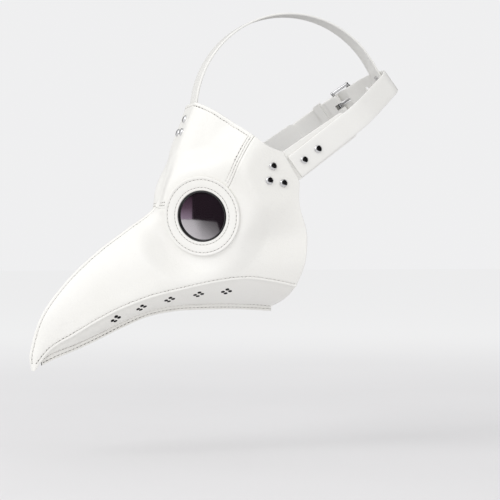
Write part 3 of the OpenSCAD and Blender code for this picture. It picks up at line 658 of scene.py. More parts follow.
FINE = np.linspace(0, 1, 1200)
RIDGE = along_shares(ROOT_S * FINE, 0 * FINE)
ROOT_SEAM = along_shares(*(lambda s: (s, side_start(s)))(ROOT_S + (1 - ROOT_S) * FINE ** 1.5))
CHEEK_SEAM = along_shares(FINE, 1 + 0 * FINE)
BROW_RIM = along_shares(1 + 0 * FINE, BROW_T * FINE)
SIDE_RIM = along_shares(1 + 0 * FINE, mix(BROW_T, 1, FINE))


def beside(curve, d, side):
    """Points of the face at distance d beside a curve given by shares: a step across the curve
    in the tangent plane, turned into shares with the face's slopes."""
    s, t = curve
    along, across = face_slopes(s, t)
    normal = unit(np.cross(across, along))
    ahead = unit(np.gradient(face_point(s, t), axis=0))
    step = side * d * unit(np.cross(normal, ahead))
    aa, ab, bb = (np.sum(x * y, -1) for x, y in ((along, along), (along, across),
        (across, across)))
    ra, rb = np.sum(along * step, -1), np.sum(across * step, -1)
    det = aa * bb - ab * ab
    ds, dt = (bb * ra - ab * rb) / det, (aa * rb - ab * ra) / det
    return face_point(np.clip(s + ds, 0, 1), np.clip(t + dt, 0, 1))


def trimmed(curve, first, last):
    """A curve given by shares without its first and last points."""
    return tuple(c[first:-last] for c in curve)


PANELS = {}


def settle(points, panel):
    """Points moved onto a finished panel along the normal of its nearest grid point, with the
    normals found there."""
    p, n = PANELS[panel]
    near = np.empty(len(points), int)
    for k in range(0, len(points), 200):
        q = points[k:k + 200]
        near[k:k + 200] = np.argmin(((q[:, None] - p[None]) ** 2).sum(-1), 1)
    normal = n[near]
    off = np.sum((points - p[near]) * normal, -1, keepdims=True)
    return points - off * normal, normal


# ---- Panels ---------------------------------------------------------------------------------
ROW_RIDGE, ROW_CHEEK, ROW_BROW, ROWS_ROOT = 3.4, 3.0, 3.6, (2.6, 5.4)
ROOT_GAP, ROOT_ROWS, RING_CALM = 0.0008, 44, 3
CHEEK_HOLLOW = np.array([[47, -128, -55], [60, -92, -42], [71, -60, -24]], float)


def beside_middle(*grids):
    """Grids kept on the left of the middle plane, half a seam's gap away."""
    for p in grids:
        p[..., 0] = np.maximum(p[..., 0], SEAM_GAP)
    return grids


def skins(p, n, lift, drop, thick):
    """Outside and inside of a panel: lifted, and rounded off by a drop that the thickness
    allows."""
    drop = np.minimum(drop, 0.42 * thick)
    depth = thick - 0.6 * np.minimum(drop, 0.3 * thick)
    return p + (lift - drop)[..., None] * n, p - depth[..., None] * n


def side_panel():
    """Left side panel: the face between ridge or forehead seam and cheek seam. The outside
    swells between each edge and its stitching, dips at the stitches and rounds off at the
    edges; a soft hollow runs over the cheek."""
    s = np.concatenate([row_values(0, ROOT_S, 1.9, near_end=False)[:-1],
        ROOT_S + (CORNER_S - ROOT_S) * np.linspace(0, 1, ROOT_ROWS) ** 1.5,
        row_values(CORNER_S, 1, 1.7)[1:]])
    start = side_start(s) + np.where(s > ROOT_S, ROOT_GAP, 0)
    t = spread_columns(lambda v: face_point(s[:, None], v), start, np.ones(len(s)), 44)
    grid_s = np.broadcast_to(s[:, None], t.shape)
    p, = beside_middle(face_point(grid_s, t))
    n = face_normal(grid_s, t)
    ridge, root, cheek, side = (line_distance(p, face_point(*curve))
        for curve in (RIDGE, ROOT_SEAM, CHEEK_SEAM, SIDE_RIM))
    quiet = rise(s, 0.0, 0.1)[:, None]
    lift = quiet * (0.35 * dip(ridge, 1.9, 1.0) - 0.4 * dip(ridge, ROW_RIDGE, 0.8)
        + 0.3 * dip(cheek, 1.3, 1.0) - 0.38 * dip(cheek, ROW_CHEEK, 0.8))
    lift = lift + 0.25 * dip(root, 2.2, 1.6)
    lift = lift + quiet * 0.22 * soft_waves(p, 46, 3) * rise(np.minimum(cheek, ridge), 3, 16)
    lift = lift - 0.9 * dip(line_distance(p, CHEEK_HOLLOW), 0, 9)
    lift = lift * rise(eye_reach(p)[1], RING_R, RING_R + RING_CALM)
    drop = sum(round_drop(d, r) for d, r in ((ridge, 0.9), (root, 0.9), (cheek, 0.6),
        (side, 0.7)))
    return beside_middle(*skins(p, n, lift, drop, wall(grid_s)))


def forehead_panel():
    """Forehead between the two forehead seams, from the root of the beak to the brow, with a
    double row of stitches beside each seam and one row along the brow."""
    s = ROOT_S + (1 - ROOT_S) * 0.004 + np.concatenate([
        (CORNER_S - ROOT_S) * np.linspace(0, 1, ROOT_ROWS) ** 1.5,
        row_values(CORNER_S, 1, 1.7)[1:] - ROOT_S]) * (1 - 0.004)
    end = side_start(s) - ROOT_GAP
    t = spread_columns(lambda v: face_point(s[:, None], v), -end, end, 56)
    grid_s = np.broadcast_to(s[:, None], t.shape)
    p = face_point(grid_s, t)
    n = face_normal(grid_s, t, -1.0)
    root, brow = (np.minimum(line_distance(p, line), line_distance(p, line * FLIP[-1]))
        for line in (face_point(*ROOT_SEAM), face_point(*BROW_RIM)))
    fade = rise(s, ROOT_S + 0.01, ROOT_S + 0.07)[:, None]
    lift = fade * (0.3 * dip(root, 1.3, 0.8) - 0.34 * dip(root, ROWS_ROOT[0], 0.6)
        + 0.2 * dip(root, 4.0, 0.8) - 0.34 * dip(root, ROWS_ROOT[1], 0.6))
    lift = lift + 0.3 * dip(brow, 1.7, 1.2) - 0.38 * dip(brow, ROW_BROW, 0.8)
    lift = lift + fade * 0.25 * soft_waves(p, 52, 8) * rise(root, 5, 16) * rise(brow, 5, 14)
    for side in (1, -1):
        lift = lift * rise(eye_reach(p * FLIP[side])[1], RING_R, RING_R + RING_CALM)
    flat = rise(np.abs(p[..., 0]), 8, 14) + rise((BROW - p) @ BROW_DIR, 34, 42)
    lift = np.where(brow > 5.5, lift * np.clip(flat, 0, 1), lift)
    thick = PANEL_T * (0.25 + 0.75 * rise(grid_s, ROOT_S, 0.68))
    return skins(p, n, lift, round_drop(root, 0.9) + round_drop(brow, 0.7), thick)


FIN_X = PANEL_T + SEAM_GAP


def lower_top(s, t):
    """Outside of the lower panel where it lies under the side panel."""
    return face_point(s, t) - (wall(s) + LAY_GAP)[..., None] * face_normal(s, t)


def jaw_point(s, u):
    """Round jaw: from the seam at u = 0 to the keel at u = 1, between a straight line and a
    quarter ellipse."""
    s, u = paired(s, u)
    a = lower_top(s, 1.0 + 0 * s)
    k = spline(KEEL_LINE, s)
    across = (1 - JAW_ROUND) * (1 - u) + JAW_ROUND * np.cos(math.pi / 2 * u)
    down = (1 - JAW_ROUND) * u + JAW_ROUND * np.sin(math.pi / 2 * u)
    return np.stack([FIN_X + np.maximum(0, a[..., 0] - FIN_X) * across,
        mix(a[..., 1], k[..., 1], u), mix(a[..., 2], k[..., 2] + FIN_H, down)], -1)


LOWER_START = 0.04


def lower_panel():
    """Left lower panel: a strip tucked under the side panel, the round jaw, and the fin that
    hangs below the keel; rows of stitches above the fin and in it."""
    s = row_values(LOWER_START, 1, 1.8, near_start=True)
    strip = TUCK / np.linalg.norm(face_point(s, 1 + 0 * s) - face_point(s, 0.9 + 0 * s), axis=-1) \
        * 0.1 * rise(s, 0, 0.3)
    v = np.array([1, 0.75, 0.5, 0.25])
    col_s = s[:, None]
    tucked = lower_top(col_s + 0 * v, 1 - v * strip[:, None])
    u = spread_columns(lambda w: jaw_point(col_s, w), 0 * s, 1 + 0 * s, 26,
        np.array([0, 0.3, 0.7, 1.2, 1.8, 2.4, 3.0, 3.6, 4.2, 5, 6]))
    jaw = jaw_point(col_s, u)
    down = np.concatenate([np.linspace(0.35, 4.0, 10), [4.4, 4.7, 4.9, 5.0]])
    fin = jaw[:, -1:] - np.array([0, 0, 1]) * down[None, :, None]
    p = np.concatenate([tucked, jaw, fin], 1)
    p[..., 0] = np.maximum(FIN_X, p[..., 0])
    n = grid_normals(p)
    keel = jaw[:, -1]
    edge = keel - np.array([0, 0, FIN_H])
    above = line_distance(p, keel)
    below = line_distance(p, edge)
    end = line_distance(p, p[-1])
    tip = rise(s, LOWER_START, LOWER_START + 0.06)[:, None]
    on_fin = np.zeros(p.shape[:2], bool)
    on_fin[:, tucked.shape[1] + jaw.shape[1]:] = True
    lift = tip * np.where(on_fin, 0.15 * dip(below, 1.0, 0.7) - 0.28 * dip(below, 2.3, 0.6),
        0.25 * dip(above, 4.2, 1.4) - 0.3 * dip(above, 2.1, 0.7))
    seam = line_distance(p, jaw[:, 0])
    lift = lift + tip * 0.18 * soft_waves(p, 38, 5) * rise(above, 3, 12) * rise(seam, 2, 9)
    thick = np.broadcast_to(wall(s)[:, None], p.shape[:2])
    drop = round_drop(below, 0.7) + round_drop(end, 0.7)
    return *beside_middle(*skins(p, n, lift, drop, thick)), keel


def remember(name, outer):
    """Keeps a finished outside for its stitches."""
    PANELS[name] = (outer.reshape(-1, 3), grid_normals(outer).reshape(-1, 3))


def eye_cutter(side):
    """Round hole for the glass."""
    return rod(*((EYE_MID + d * EYE_AXIS) * FLIP[side] for d in (-12, 12)), SIGHT_R + 4.7, 96)


def vent_cutters():
    """Five clusters of four holes along the lower panel, square to its surface."""
    s = np.linspace(0.37, 0.74, 5)
    at = jaw_point(s, 0.37)
    along = unit(jaw_point(s + 0.01, 0.37) - at)
    across = unit(jaw_point(s, 0.39) - at)
    out = np.cross(across, along)
    parts = []
    for k in range(5):
        for a in range(4):
            turn = a * math.pi / 2
            mid = at[k] + VENT_SPREAD * (math.cos(turn) * along[k] + math.sin(turn) * across[k])
            parts.append(rod(mid - 6 * out[k], mid + 6 * out[k], VENT_R, 24))
    return parts


side_outer, side_inner = side_panel()
remember("side", side_outer)
lower_outer, lower_inner, KEEL_EDGE = lower_panel()
remember("lower", lower_outer)
front_outer, front_inner = forehead_panel()
remember("forehead", front_outer)

forehead = shell_piece("forehead", front_outer, front_inner, [PANEL_LEATHER, LINING_AND_HOLE_SHADE],
    ["forehead_panel"])
punch(forehead, [eye_cutter(1), eye_cutter(-1)])
for side, word in SIDES:
    turned = (lambda g: g) if side > 0 else mirrored
    cheek = shell_piece("side_" + word, turned(side_outer), turned(side_inner),
        [PANEL_LEATHER, LINING_AND_HOLE_SHADE], ["beak_side_" + word])
    punch(cheek, [eye_cutter(side)])
    jaw = shell_piece("lower_" + word, turned(lower_outer), turned(lower_inner),
        [PANEL_LEATHER, LINING_AND_HOLE_SHADE], ["beak_lower_" + word])
    # The vent holes' walls take the dark backing: partly its own colour, partly painted shade for
    # the dark inside seen through the holes
    punch(jaw, [(p * FLIP[side], f if side > 0 else [q[::-1] for q in f])
        for p, f in vent_cutters()], wall_slot=1)

# ---- Goggles --------------------------------------------------------------------------------
LIP_R = SIGHT_R + LIP_W
RING_IN = LIP_R + 0.2
ROW_OUTER, ROW_INNER = 35.4, 27.8
LENS_FACES = -0.45, -1.55


def ring_height(r):
    """Height of the leather ring above the eye plane: a dish that falls towards the glass,
    puffed between its edges and its two rows of stitches."""
    base = mix(RING_T - RING_DISH, RING_T, (r - RING_IN) / (RING_R - RING_IN))
    h = base - 0.34 * dip(r, ROW_OUTER, 0.7) - 0.3 * dip(r, ROW_INNER, 0.7)
    h = h + 0.12 * dip(r, 37.0, 0.9) + 0.1 * dip(r, 31.6, 2.6) + 0.05 * dip(r, 26.2, 0.8)
    return h - round_drop(RING_R - r, 0.7) - round_drop(r - RING_IN, 0.6) - 0.12


def ring_profile():
    """Closed outline of the ring as (radius, height), outer edge first."""
    r = np.concatenate([RING_R - EDGE_STEPS[:8], np.linspace(RING_R - 3, RING_IN + 4, 26),
        RING_IN + EDGE_STEPS[:9][::-1]])
    top = np.stack([r, ring_height(r)], -1)
    return np.concatenate([top, [[RING_IN, LAY_GAP], [RING_R, LAY_GAP]]])


def gasket_profile():
    """Closed outline of the rubber gasket, with a round lip."""
    mid = (SIGHT_R + LIP_R) / 2
    lip = arc(mid, 1.05, LIP_W / 2, 0, 180, 12)
    return np.concatenate([[[SIGHT_R + 4.6, -2.3], [SIGHT_R + 4.6, -0.05], [LIP_R, -0.05]],
        lip, [[SIGHT_R, -0.35], [SIGHT_R + 3.3, -0.4], [SIGHT_R + 3.3, -1.6],
              [SIGHT_R, -1.6], [SIGHT_R, -2.3]]])


def lens_profile():
    """Outline of the glass from its middle to its edge and back."""
    r = np.linspace(0, SIGHT_R + 3.2, 20)
    top, low = (np.stack([r, np.full(len(r), h)], -1) for h in LENS_FACES)
    return np.concatenate([top, low[::-1]])


for side, word in SIDES:
    for name, profile, mat, nodes, slot, closed in (
            ("ring_", ring_profile(), PANEL_LEATHER, ["eye_ring_" + word], "leather", True),
            ("gasket_", gasket_profile(), RUBBER, ["lens_gasket_" + word], "rubber", True),
            ("glass_", lens_profile(), LENS, ["lens_" + word], "lens", False)):
        p, f = spun(profile, EYE_MID * FLIP[side], EYE_AXIS * FLIP[side], 192, closed)
        make_piece(name + word, p, f, [mat], nodes=nodes)

# ---- Stitches -------------------------------------------------------------------------------
stitches, needle_shades = [], []
HOLE_SIDES = 8


def thread_shape(n_ring=6, n_along=7):
    """One stitch from x = -1 to 1: a flat tube that bends down at both ends."""
    x = np.linspace(-1, 1, n_along)
    a = np.linspace(0, 2 * math.pi, n_ring, endpoint=False)
    high = 0.36 * (1 - x ** 4) - 0.2
    size = np.sqrt(np.clip(1.02 - x ** 6, 0.02, 1))
    p = np.stack([np.broadcast_to(x[:, None], (n_along, n_ring)),
        0.5 * size[:, None] * np.cos(a), high[:, None] + 0.3 * size[:, None] * np.sin(a)], -1)
    return p.reshape(-1, 3), tube_faces(n_along, n_ring)


THREAD_P, THREAD_F = thread_shape()


def sew(points, normals, pitch=4.0, length=2.7):
    """A row of stitches along a line of points, each laid along the line, with a dark disc at
    each end as painted shade of its needle hole."""
    run = run_along(points)
    count = max(1, int(round(run[-1] / pitch)))
    mids = (np.arange(count) + 0.5) * run[-1] / count

    def at(x, values):
        return np.stack([np.interp(x, run, values[:, k]) for k in range(3)], -1)
    mid, normal = at(mids, points), unit(at(mids, normals))
    half = length / 2
    ahead = square_to(at(mids + half, points) - at(mids - half, points), normal)
    aside = np.cross(normal, ahead)
    p = (mid[:, None] + half * THREAD_P[None, :, :1] * ahead[:, None]
        + 0.95 * THREAD_P[None, :, 1:2] * aside[:, None]
        + THREAD_P[None, :, 2:] * normal[:, None])
    stitches.append(p.reshape(-1, len(THREAD_P), 3))
    # Dark discs beside each stitch: painted shade of the needle holes
    a = np.linspace(0, 2 * math.pi, HOLE_SIDES, endpoint=False)
    disc = np.stack([0.7 * np.cos(a), 0.55 * np.sin(a)], -1)
    for end in (-1, 1):
        centre = mid + end * (half + 0.1) * ahead + 0.05 * normal
        needle_shades.append(centre[:, None] + disc[None, :, :1] * ahead[:, None]
            + disc[None, :, 1:] * aside[:, None])


def sew_both(points, normals, **more):
    """The same row on the left and on the right."""
    sew(points, normals, **more)
    sew((points * FLIP[-1])[::-1], (normals * FLIP[-1])[::-1], **more)


sew_both(*settle(beside(trimmed(RIDGE, 6, 2), ROW_RIDGE, -1), "side"))
sew_both(*settle(beside(trimmed(CHEEK_SEAM, 8, 2), ROW_CHEEK, 1), "side"))


def clear_of_ring(points, normals, gap=1.5):
    """The stretch of a row outside the goggle ring, cut into separate runs."""
    ok = eye_reach(points)[1] > RING_R + gap
    cuts = np.flatnonzero(np.diff(ok.astype(int))) + 1
    return [(p, n) for p, n, k in zip(np.split(points, cuts), np.split(normals, cuts),
        np.split(ok, cuts)) if k[0] and len(p) > 4]


for row in ROWS_ROOT:
    for p, n in clear_of_ring(*settle(beside(trimmed(ROOT_SEAM, 8, 2), row, 1), "forehead")):
        sew_both(p, n)
sew(*(np.concatenate([(v * FLIP[-1])[::-1], v])
    for v in settle(beside(trimmed(BROW_RIM, 3, 3), ROW_BROW, -1), "forehead")))
keel_run = KEEL_EDGE[6:-3]
sew_both(*settle(keel_run + np.array([0.6, 0, 2.0]), "lower"))
sew_both(*settle(keel_run - np.array([0, 0, FIN_H - 2.3]), "lower"))
for side in (1, -1):
    axis = EYE_AXIS * FLIP[side]
    u, v = about(axis)
    a = np.linspace(0, 2 * math.pi, 361)[:, None]
    for r, pitch, length in ((ROW_OUTER, 3.9, 2.6), (ROW_INNER, 3.6, 2.3)):
        line = EYE_MID * FLIP[side] + r * (np.cos(a) * u + np.sin(a) * v) + ring_height(r) * axis
        sew(line, np.broadcast_to(axis, line.shape), pitch=pitch, length=length)

stitches = np.concatenate(stitches)
count = len(THREAD_P)
thread_faces = [[v + k * count for v in q] for k in range(len(stitches)) for q in THREAD_F]
make_piece("threads", stitches.reshape(-1, 3), thread_faces, [THREAD], angle=80)
# Painted shade of the needle holes, as dark discs
needle_shades = np.concatenate(needle_shades)
hole_faces = (np.arange(len(needle_shades))[:, None] * HOLE_SIDES + np.arange(HOLE_SIDES)).tolist()
make_piece("needle_holes", needle_shades.reshape(-1, 3), hole_faces, [NEEDLE_SHADE])

# ---- Straps ---------------------------------------------------------------------------------
FLAT_LEN, SEAT_LEN, SEAT_TURN, SIDE_END = STRAP_W / 2 + 1, 48.0, math.radians(55), 46.0
SIDE_RUN = 25.5


def corner_radii():
    """Radii of the strap's two round corners: the turns across and along the head add up."""
    c, s = math.cos(SEAT_TURN), math.sin(SEAT_TURN)
    run_x = STRAP_HALF - FLAT_LEN - SEAT_LEN * c
    run_y = STRAP_BACK - SIDE_END - SEAT_LEN * s
    det = s * c - (1 - s) * (1 - c)
    return (run_x * c - run_y * (1 - s)) / det, (run_y * s - run_x * (1 - c)) / det


BACK_R, SIDE_R = corner_radii()
L_BACK = FLAT_LEN + BACK_R * SEAT_TURN
L_SEAT = L_BACK + SEAT_LEN
L_CORNER = L_SEAT + SIDE_R * (math.pi / 2 - SEAT_TURN)
L_START = L_CORNER + SIDE_END + SIDE_RUN
BUCKLE_L = -(L_BACK + 13)
HEEL_X, HEEL_Y, WIRE_R = -9.0, 0.95, 1.6


def strap_line(l):
    """Inside line of the head strap in its own plane and its outward normal, by length from
    the middle of the back: flat, round corner, straight seat, round corner, straight side."""
    l = np.asarray(l, float)
    m = np.abs(l)
    turn = np.clip((m - FLAT_LEN) / BACK_R, 0, SEAT_TURN) + np.clip((m - L_SEAT) / SIDE_R, 0,
        math.pi / 2 - SEAT_TURN)
    sin, cos = np.sin(turn), np.cos(turn)
    back_x, back_y = FLAT_LEN, STRAP_BACK - BACK_R
    seat = np.clip(m - L_BACK, 0, SEAT_LEN)
    x1, y1 = back_x + BACK_R * sin, back_y + BACK_R * cos
    x2 = x1 + seat * math.cos(SEAT_TURN)
    y2 = y1 - seat * math.sin(SEAT_TURN)
    x3, y3 = STRAP_HALF - SIDE_R + SIDE_R * sin, SIDE_END + SIDE_R * cos
    x = np.where(m < FLAT_LEN, m, np.where(m < L_SEAT, x2, np.where(m < L_CORNER, x3,
        STRAP_HALF)))
    y = np.where(m < FLAT_LEN, STRAP_BACK, np.where(m < L_SEAT, y2, np.where(m < L_CORNER, y3,
        SIDE_END - (m - L_CORNER))))
    side = np.where(l < 0, -1.0, 1.0)
    return np.stack([side * x, y], -1), np.stack([side * sin, cos], -1)


def from_strap(p):
    """Points (x, y, z) of the tilted strap plane in the mask's frame."""
    p = np.asarray(p, float)
    c, s = math.cos(STRAP_TILT), math.sin(STRAP_TILT)
    return np.stack([p[..., 0], p[..., 1] * c - p[..., 2] * s,
        STRAP_Z + p[..., 1] * s + p[..., 2] * c], -1)


def from_line(flat):
    """Points (x, y) on the strap plane's middle in the mask's frame."""
    return from_strap(np.concatenate([flat, 0 * flat[:, :1]], 1))


STRAP_UP, STRAP_AFT = (from_strap(v) - from_strap([0, 0, 0]) for v in ([0, 0, 1], [0, 1, 0]))


def seat_point(x, y, z=0.0):
    """Point of the buckle's own frame, x along the strap to the back and y outwards."""
    at = strap_line(BUCKLE_L)[0]
    c, s = math.cos(SEAT_TURN), math.sin(SEAT_TURN)
    return from_strap([at[0] + x * c - y * s, at[1] + x * s + y * c, z])


def seat_points(xy):
    """Points of the buckle's own frame on the strap's middle."""
    return np.array([seat_point(x, y) for x, y in xy])


def strap_profile():
    """Outline of a strap's section as (across, up), with soft round edges."""
    w, t, r = STRAP_W / 2, STRAP_T, 0.85
    low = [arc(w - r, r, r, -90, 0, 4), arc(w - r, t - r, r, 0, 90, 4)]
    right = np.concatenate(low)
    left = right[::-1] * np.array([-1, 1])
    top = np.array([[x, t + 0.10 * (1 - (x / (w - r)) ** 8)] for x in np.linspace(8, -8, 7)])
    bottom = np.array([[x, 0.0] for x in np.linspace(-8, 8, 5)])
    return np.concatenate([right, top, left, bottom])


def strap_tube(path, normals, across):
    """Closed strap: the section carried along a path, up along the normals."""
    section = strap_profile()
    p = path[:, None] + section[None, :, :1] * across[:, None] \
        + section[None, :, 1:] * normals[:, None]
    ends = []
    for k, way in ((0, -1), (-1, 1)):
        ahead = unit(np.cross(across[k], normals[k])) * way
        ahead = ahead * np.sign(np.dot(ahead, (path[k] - path[1 if k == 0 else -2])))
        mid = p[k].mean(0)
        ends.append([mid + (p[k] - mid) * 0.985 + 0.25 * ahead, mid + (p[k] - mid) * 0.93
            + 0.4 * ahead])
    p = np.concatenate([ends[0][::-1], p, ends[1]])
    return p.reshape(-1, 3), tube_faces(*p.shape[:2])


def head_strap(ls, heights):
    """Head strap between lengths ls, its inside lifted off the head's line by a table."""
    at, out = strap_line(ls)
    high = np.interp(ls, [h[0] for h in heights], [h[1] for h in heights])
    flat = at + high[:, None] * out
    path = from_line(flat)
    normals = square_to(from_line(flat + out) - path, unit(np.gradient(path, axis=0)))
    return path, normals, np.broadcast_to(STRAP_UP, path.shape)


OVER_STRAP, FOLD_R = STRAP_T + 0.2, WIRE_R + 0.1
OVER_FOLD = HEEL_Y + FOLD_R + STRAP_T + 0.25
TAB_RIVET_YS = (-14.5, 3.2)
SPARE_HOLES, HOLE_R = (-28, -38, 26, 36), 2.0


def strap_hole(l, r):
    """Round cutter through the head strap at a length."""
    at, out = strap_line(l)
    a, b = at - 4 * out, at + 12 * out
    return rod(from_strap([*a, 0]), from_strap([*b, 0]), r, 24)


# Long strap: from its tail's end over the short strap and the heel bar to the left temple
TAIL_L, RAMP_L, FLAT_L = BUCKLE_L - 62, BUCKLE_L - 22, BUCKLE_L + 5
long_ls = np.concatenate([np.linspace(TAIL_L, RAMP_L, 20, endpoint=False),
    np.linspace(RAMP_L, FLAT_L, 34, endpoint=False), np.linspace(FLAT_L, L_START, 150)])
long_heights = [(TAIL_L, OVER_STRAP), (BUCKLE_L + HEEL_X - 12.5, OVER_STRAP),
    (BUCKLE_L + HEEL_X - 4, OVER_FOLD), (BUCKLE_L + HEEL_X + 3.5, OVER_FOLD),
    (BUCKLE_L + 4.5, 0), (L_START, 0)]
p, f = strap_tube(*head_strap(long_ls, long_heights))
long_strap = make_piece("strap_long", p, f, [STRAP_LEATHER], nodes=["side_strap_left"])
for x in (HEEL_X + 0.4, 0.0, 2.4, *np.linspace(HEEL_X + 2, -1.5, 5)):
    punch(long_strap, [strap_hole(BUCKLE_L + x, HOLE_R)])
punch(long_strap, [strap_hole(BUCKLE_L + x, HOLE_R) for x in SPARE_HOLES])

# Short strap: along the head, round the heel bar and back under itself
fore_ls = np.linspace(L_START, -BUCKLE_L - HEEL_X + 7, 60)
at, out = strap_line(-fore_ls)
fore = from_line(at)
fold = arc(HEEL_X, HEEL_Y, FOLD_R, 90, -90, 13)
folded = ((np.array([[HEEL_X - 3, 1.6], [HEEL_X - 1, HEEL_Y + FOLD_R]]), [0, 1]),
    (fold, arc(0, 0, 1, 90, -90, 13)),
    (np.array([[HEEL_X - 1, HEEL_Y - FOLD_R], [HEEL_X - 4, -0.4], [HEEL_X - 7, -0.05],
        [HEEL_X - 9, -0.05], [HEEL_X - 12, -0.05]]), [0, -1]))
seats = [seat_points(xy) for xy, _ in folded]
path = np.concatenate([fore, *seats])
normals = np.concatenate([from_line(at + out) - fore,
    *(seat_points(xy + way) - q for (xy, way), q in zip(folded, seats))])
normals = square_to(normals, unit(np.gradient(path, axis=0)))
p, f = strap_tube(path, normals, np.broadcast_to(-STRAP_UP, path.shape))
short_strap = make_piece("strap_short", p, f, [STRAP_LEATHER], nodes=["side_strap_right"])
box_p = np.array([seat_point(x, y, z) for x in (HEEL_X - 4.6, HEEL_X + 9.4) for y in (-10, 10)
    for z in (-2.9, 2.9)])
box_f = [[0, 1, 3, 2], [4, 6, 7, 5], [0, 4, 5, 1], [2, 3, 7, 6], [0, 2, 6, 4], [1, 5, 7, 3]]
punch(short_strap, [(box_p, box_f)])

# Crown strap: up behind the brow, over the crown, down inside the head strap
front_at = (BROW - BROW_OUT * (PANEL_T + LAY_GAP + STRAP_T))[1:]
leg = STRAP_BACK - LAY_GAP - STRAP_T
back_at, end_at = (from_strap([0, leg, STRAP_W / 2 + 3])[1:],
    from_strap([0, leg, -STRAP_W / 2 + 1])[1:])
chord = back_at - front_at
centre = (front_at + back_at) / 2 + unit(np.array([chord[1], -chord[0]])) * math.sqrt(
    CROWN_R ** 2 - (np.linalg.norm(chord) / 2) ** 2)
turn = [math.atan2(*(q - centre)[::-1]) for q in (front_at, back_at)]
a = np.linspace(turn[0], turn[1], 90)[:, None]
over = centre + CROWN_R * np.concatenate([np.cos(a), np.sin(a)], 1)
tail = front_at - np.linspace(BROW_TAIL, 1.5, 14)[:, None] * BROW_DIR[1:]
down = np.array([mix(back_at, end_at, x) for x in np.linspace(0.06, 1, 10)])
flat = np.concatenate([tail, over, down])
path = np.concatenate([0 * flat[:, :1], flat], 1)
ahead = unit(np.gradient(path, axis=0))
ahead[:13] = BROW_DIR
ahead[-9:] = unit(np.array([0, *(end_at - back_at)]))
normals = unit(np.cross([1.0, 0, 0], ahead))
p, f = strap_tube(path, normals, np.broadcast_to([-1.0, 0, 0], path.shape))
make_piece("strap_crown", p, f, [STRAP_LEATHER], nodes=["top_strap"])


def rounded_outline(points, r, n=7):
    """Closed outline with its corners replaced by arcs of radius r."""
    points = np.asarray(points, float)
    out = []
    for k in range(len(points)):
        p = points[k]
        a, b = unit(points[k - 1] - p), unit(points[(k + 1) % len(points)] - p)
        half = math.acos(np.clip(a @ b, -1, 1)) / 2
        mid = p + unit(a + b) * r / math.sin(half)
        start, end = p + a * r / math.tan(half) - mid, p + b * r / math.tan(half) - mid
        out += [mid + r * unit(mix(start, end, x)) for x in np.linspace(0, 1, n)]
    return np.array(out)


def plate(outline, low, high, r):
    """Flat leather plate with round edges: the outline shrunk step by step at both faces.
    Returns (x, y, z) with the plate's thickness along x."""
    middle = outline.mean(0)
    ahead = unit(np.roll(outline, -1, 0) - np.roll(outline, 1, 0))
    inward = np.stack([-ahead[:, 1], ahead[:, 0]], -1)
    if np.sum((middle - outline) * inward) < 0:
        inward = -inward
    rings = []
    for a in np.linspace(0, 90, 5):
        c, s = math.cos(math.radians(a)), math.sin(math.radians(a))
        rings.append((high - r + r * s, (1 - c) * r))
    rings = [(low + (high - x), d) for x, d in rings[::-1]] + rings
    p = np.array([np.concatenate([np.full((len(outline), 1), x), outline + d * inward], 1)
        for x, d in rings])
    return p.reshape(-1, 3), tube_faces(len(rings), len(outline))


TAB_X = STRAP_HALF - LAY_GAP - STRAP_T
TAB_OUTLINE = rounded_outline([[-62, -10], [-62, 19], [-27, 19], [46.3, 14], [46.3, -14],
    [-27, -13]], 5)
for side, word in SIDES:
    p, f = plate(TAB_OUTLINE, TAB_X, TAB_X + STRAP_T, 0.7)
    p = from_strap(p)
    if side < 0:
        p, f = p * FLIP[-1], [q[::-1] for q in f]
    make_piece("tab_" + word, p, f, [STRAP_LEATHER], nodes=["temple_tab_" + word])

# ---- Rivets ---------------------------------------------------------------------------------
def rivet_profile(post):
    """Outline of a rivet as (radius, height): dome, soft shoulder, collar and post."""
    a = np.radians(np.linspace(90, 8, 14))
    dome = np.stack([(RIVET_R - 0.25) * np.cos(a), 0.45 + (RIVET_H - 0.45) * np.sin(a)], -1)
    dome[0, 0] = 0
    brim = np.array([[RIVET_R - 0.06, 0.5], [RIVET_R, 0.32], [RIVET_R - 0.05, 0.1],
        [RIVET_R - 0.2, 0.0], [POST_R, 0.0], [POST_R, -post], [0, -post]])
    return np.concatenate([dome, brim])


def rivets(name, places, post, nodes):
    """Rivets of one group as one piece; places are (point, outward direction)."""
    p, f = joined([spun(rivet_profile(post), at, unit(np.asarray(out, float)), 40)
        for at, out in places])
    make_piece(name, p, f, [RIVET_METAL], nodes=nodes, angle=50)


# Rivets stand LIFT off the leather, and their posts reach POST_OVER beyond it
LIFT, POST_OVER = 0.05, 0.7
for side, word in SIDES:
    for group, x, spots in (
            ("temple", TEMPLE_MID[0], ((-43.5, 14), (-54.7, 5.2), (-44.8, -5.2))),
            ("tab", STRAP_HALF + STRAP_T, [(y, 0) for y in TAB_RIVET_YS])):
        places = [(from_strap([x + LIFT, y, z]) * FLIP[side], [side, 0, 0]) for y, z in spots]
        rivets(f"{group}_studs_{word}", places, x - TAB_X + POST_OVER,
            [f"{group}_rivets_{word}"])
places = [(np.array([x, 0, 0]) + BROW - BROW_DIR * y + LIFT * BROW_OUT, BROW_OUT)
    for x, y in ((0, 17), (-6.5, 31), (6.5, 31))]
rivets("forehead_studs", places, PANEL_T + LAY_GAP + STRAP_T + POST_OVER, ["forehead_rivets"])
places = [(from_strap([0, STRAP_BACK + STRAP_T + LIFT, z]), STRAP_AFT) for z in (-6, 6)]
rivets("back_studs", places, 2 * STRAP_T + LAY_GAP + POST_OVER, ["back_rivets"])

# ---- CAD nodes that stay --------------------------------------------------------------------
for name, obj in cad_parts.items():
    for word, m in (("rivet", RIVET_METAL), ("buckle_", BUCKLE_METAL), ("eye_backing", LINING_AND_HOLE_SHADE),
            ("strap_keeper", STRAP_LEATHER)):
        if word in name:
            obj.data.materials.clear()
            obj.data.materials.append(m)

# ---- Floor, light and camera ----------------------------------------------------------------
FLOOR_Z = -0.235


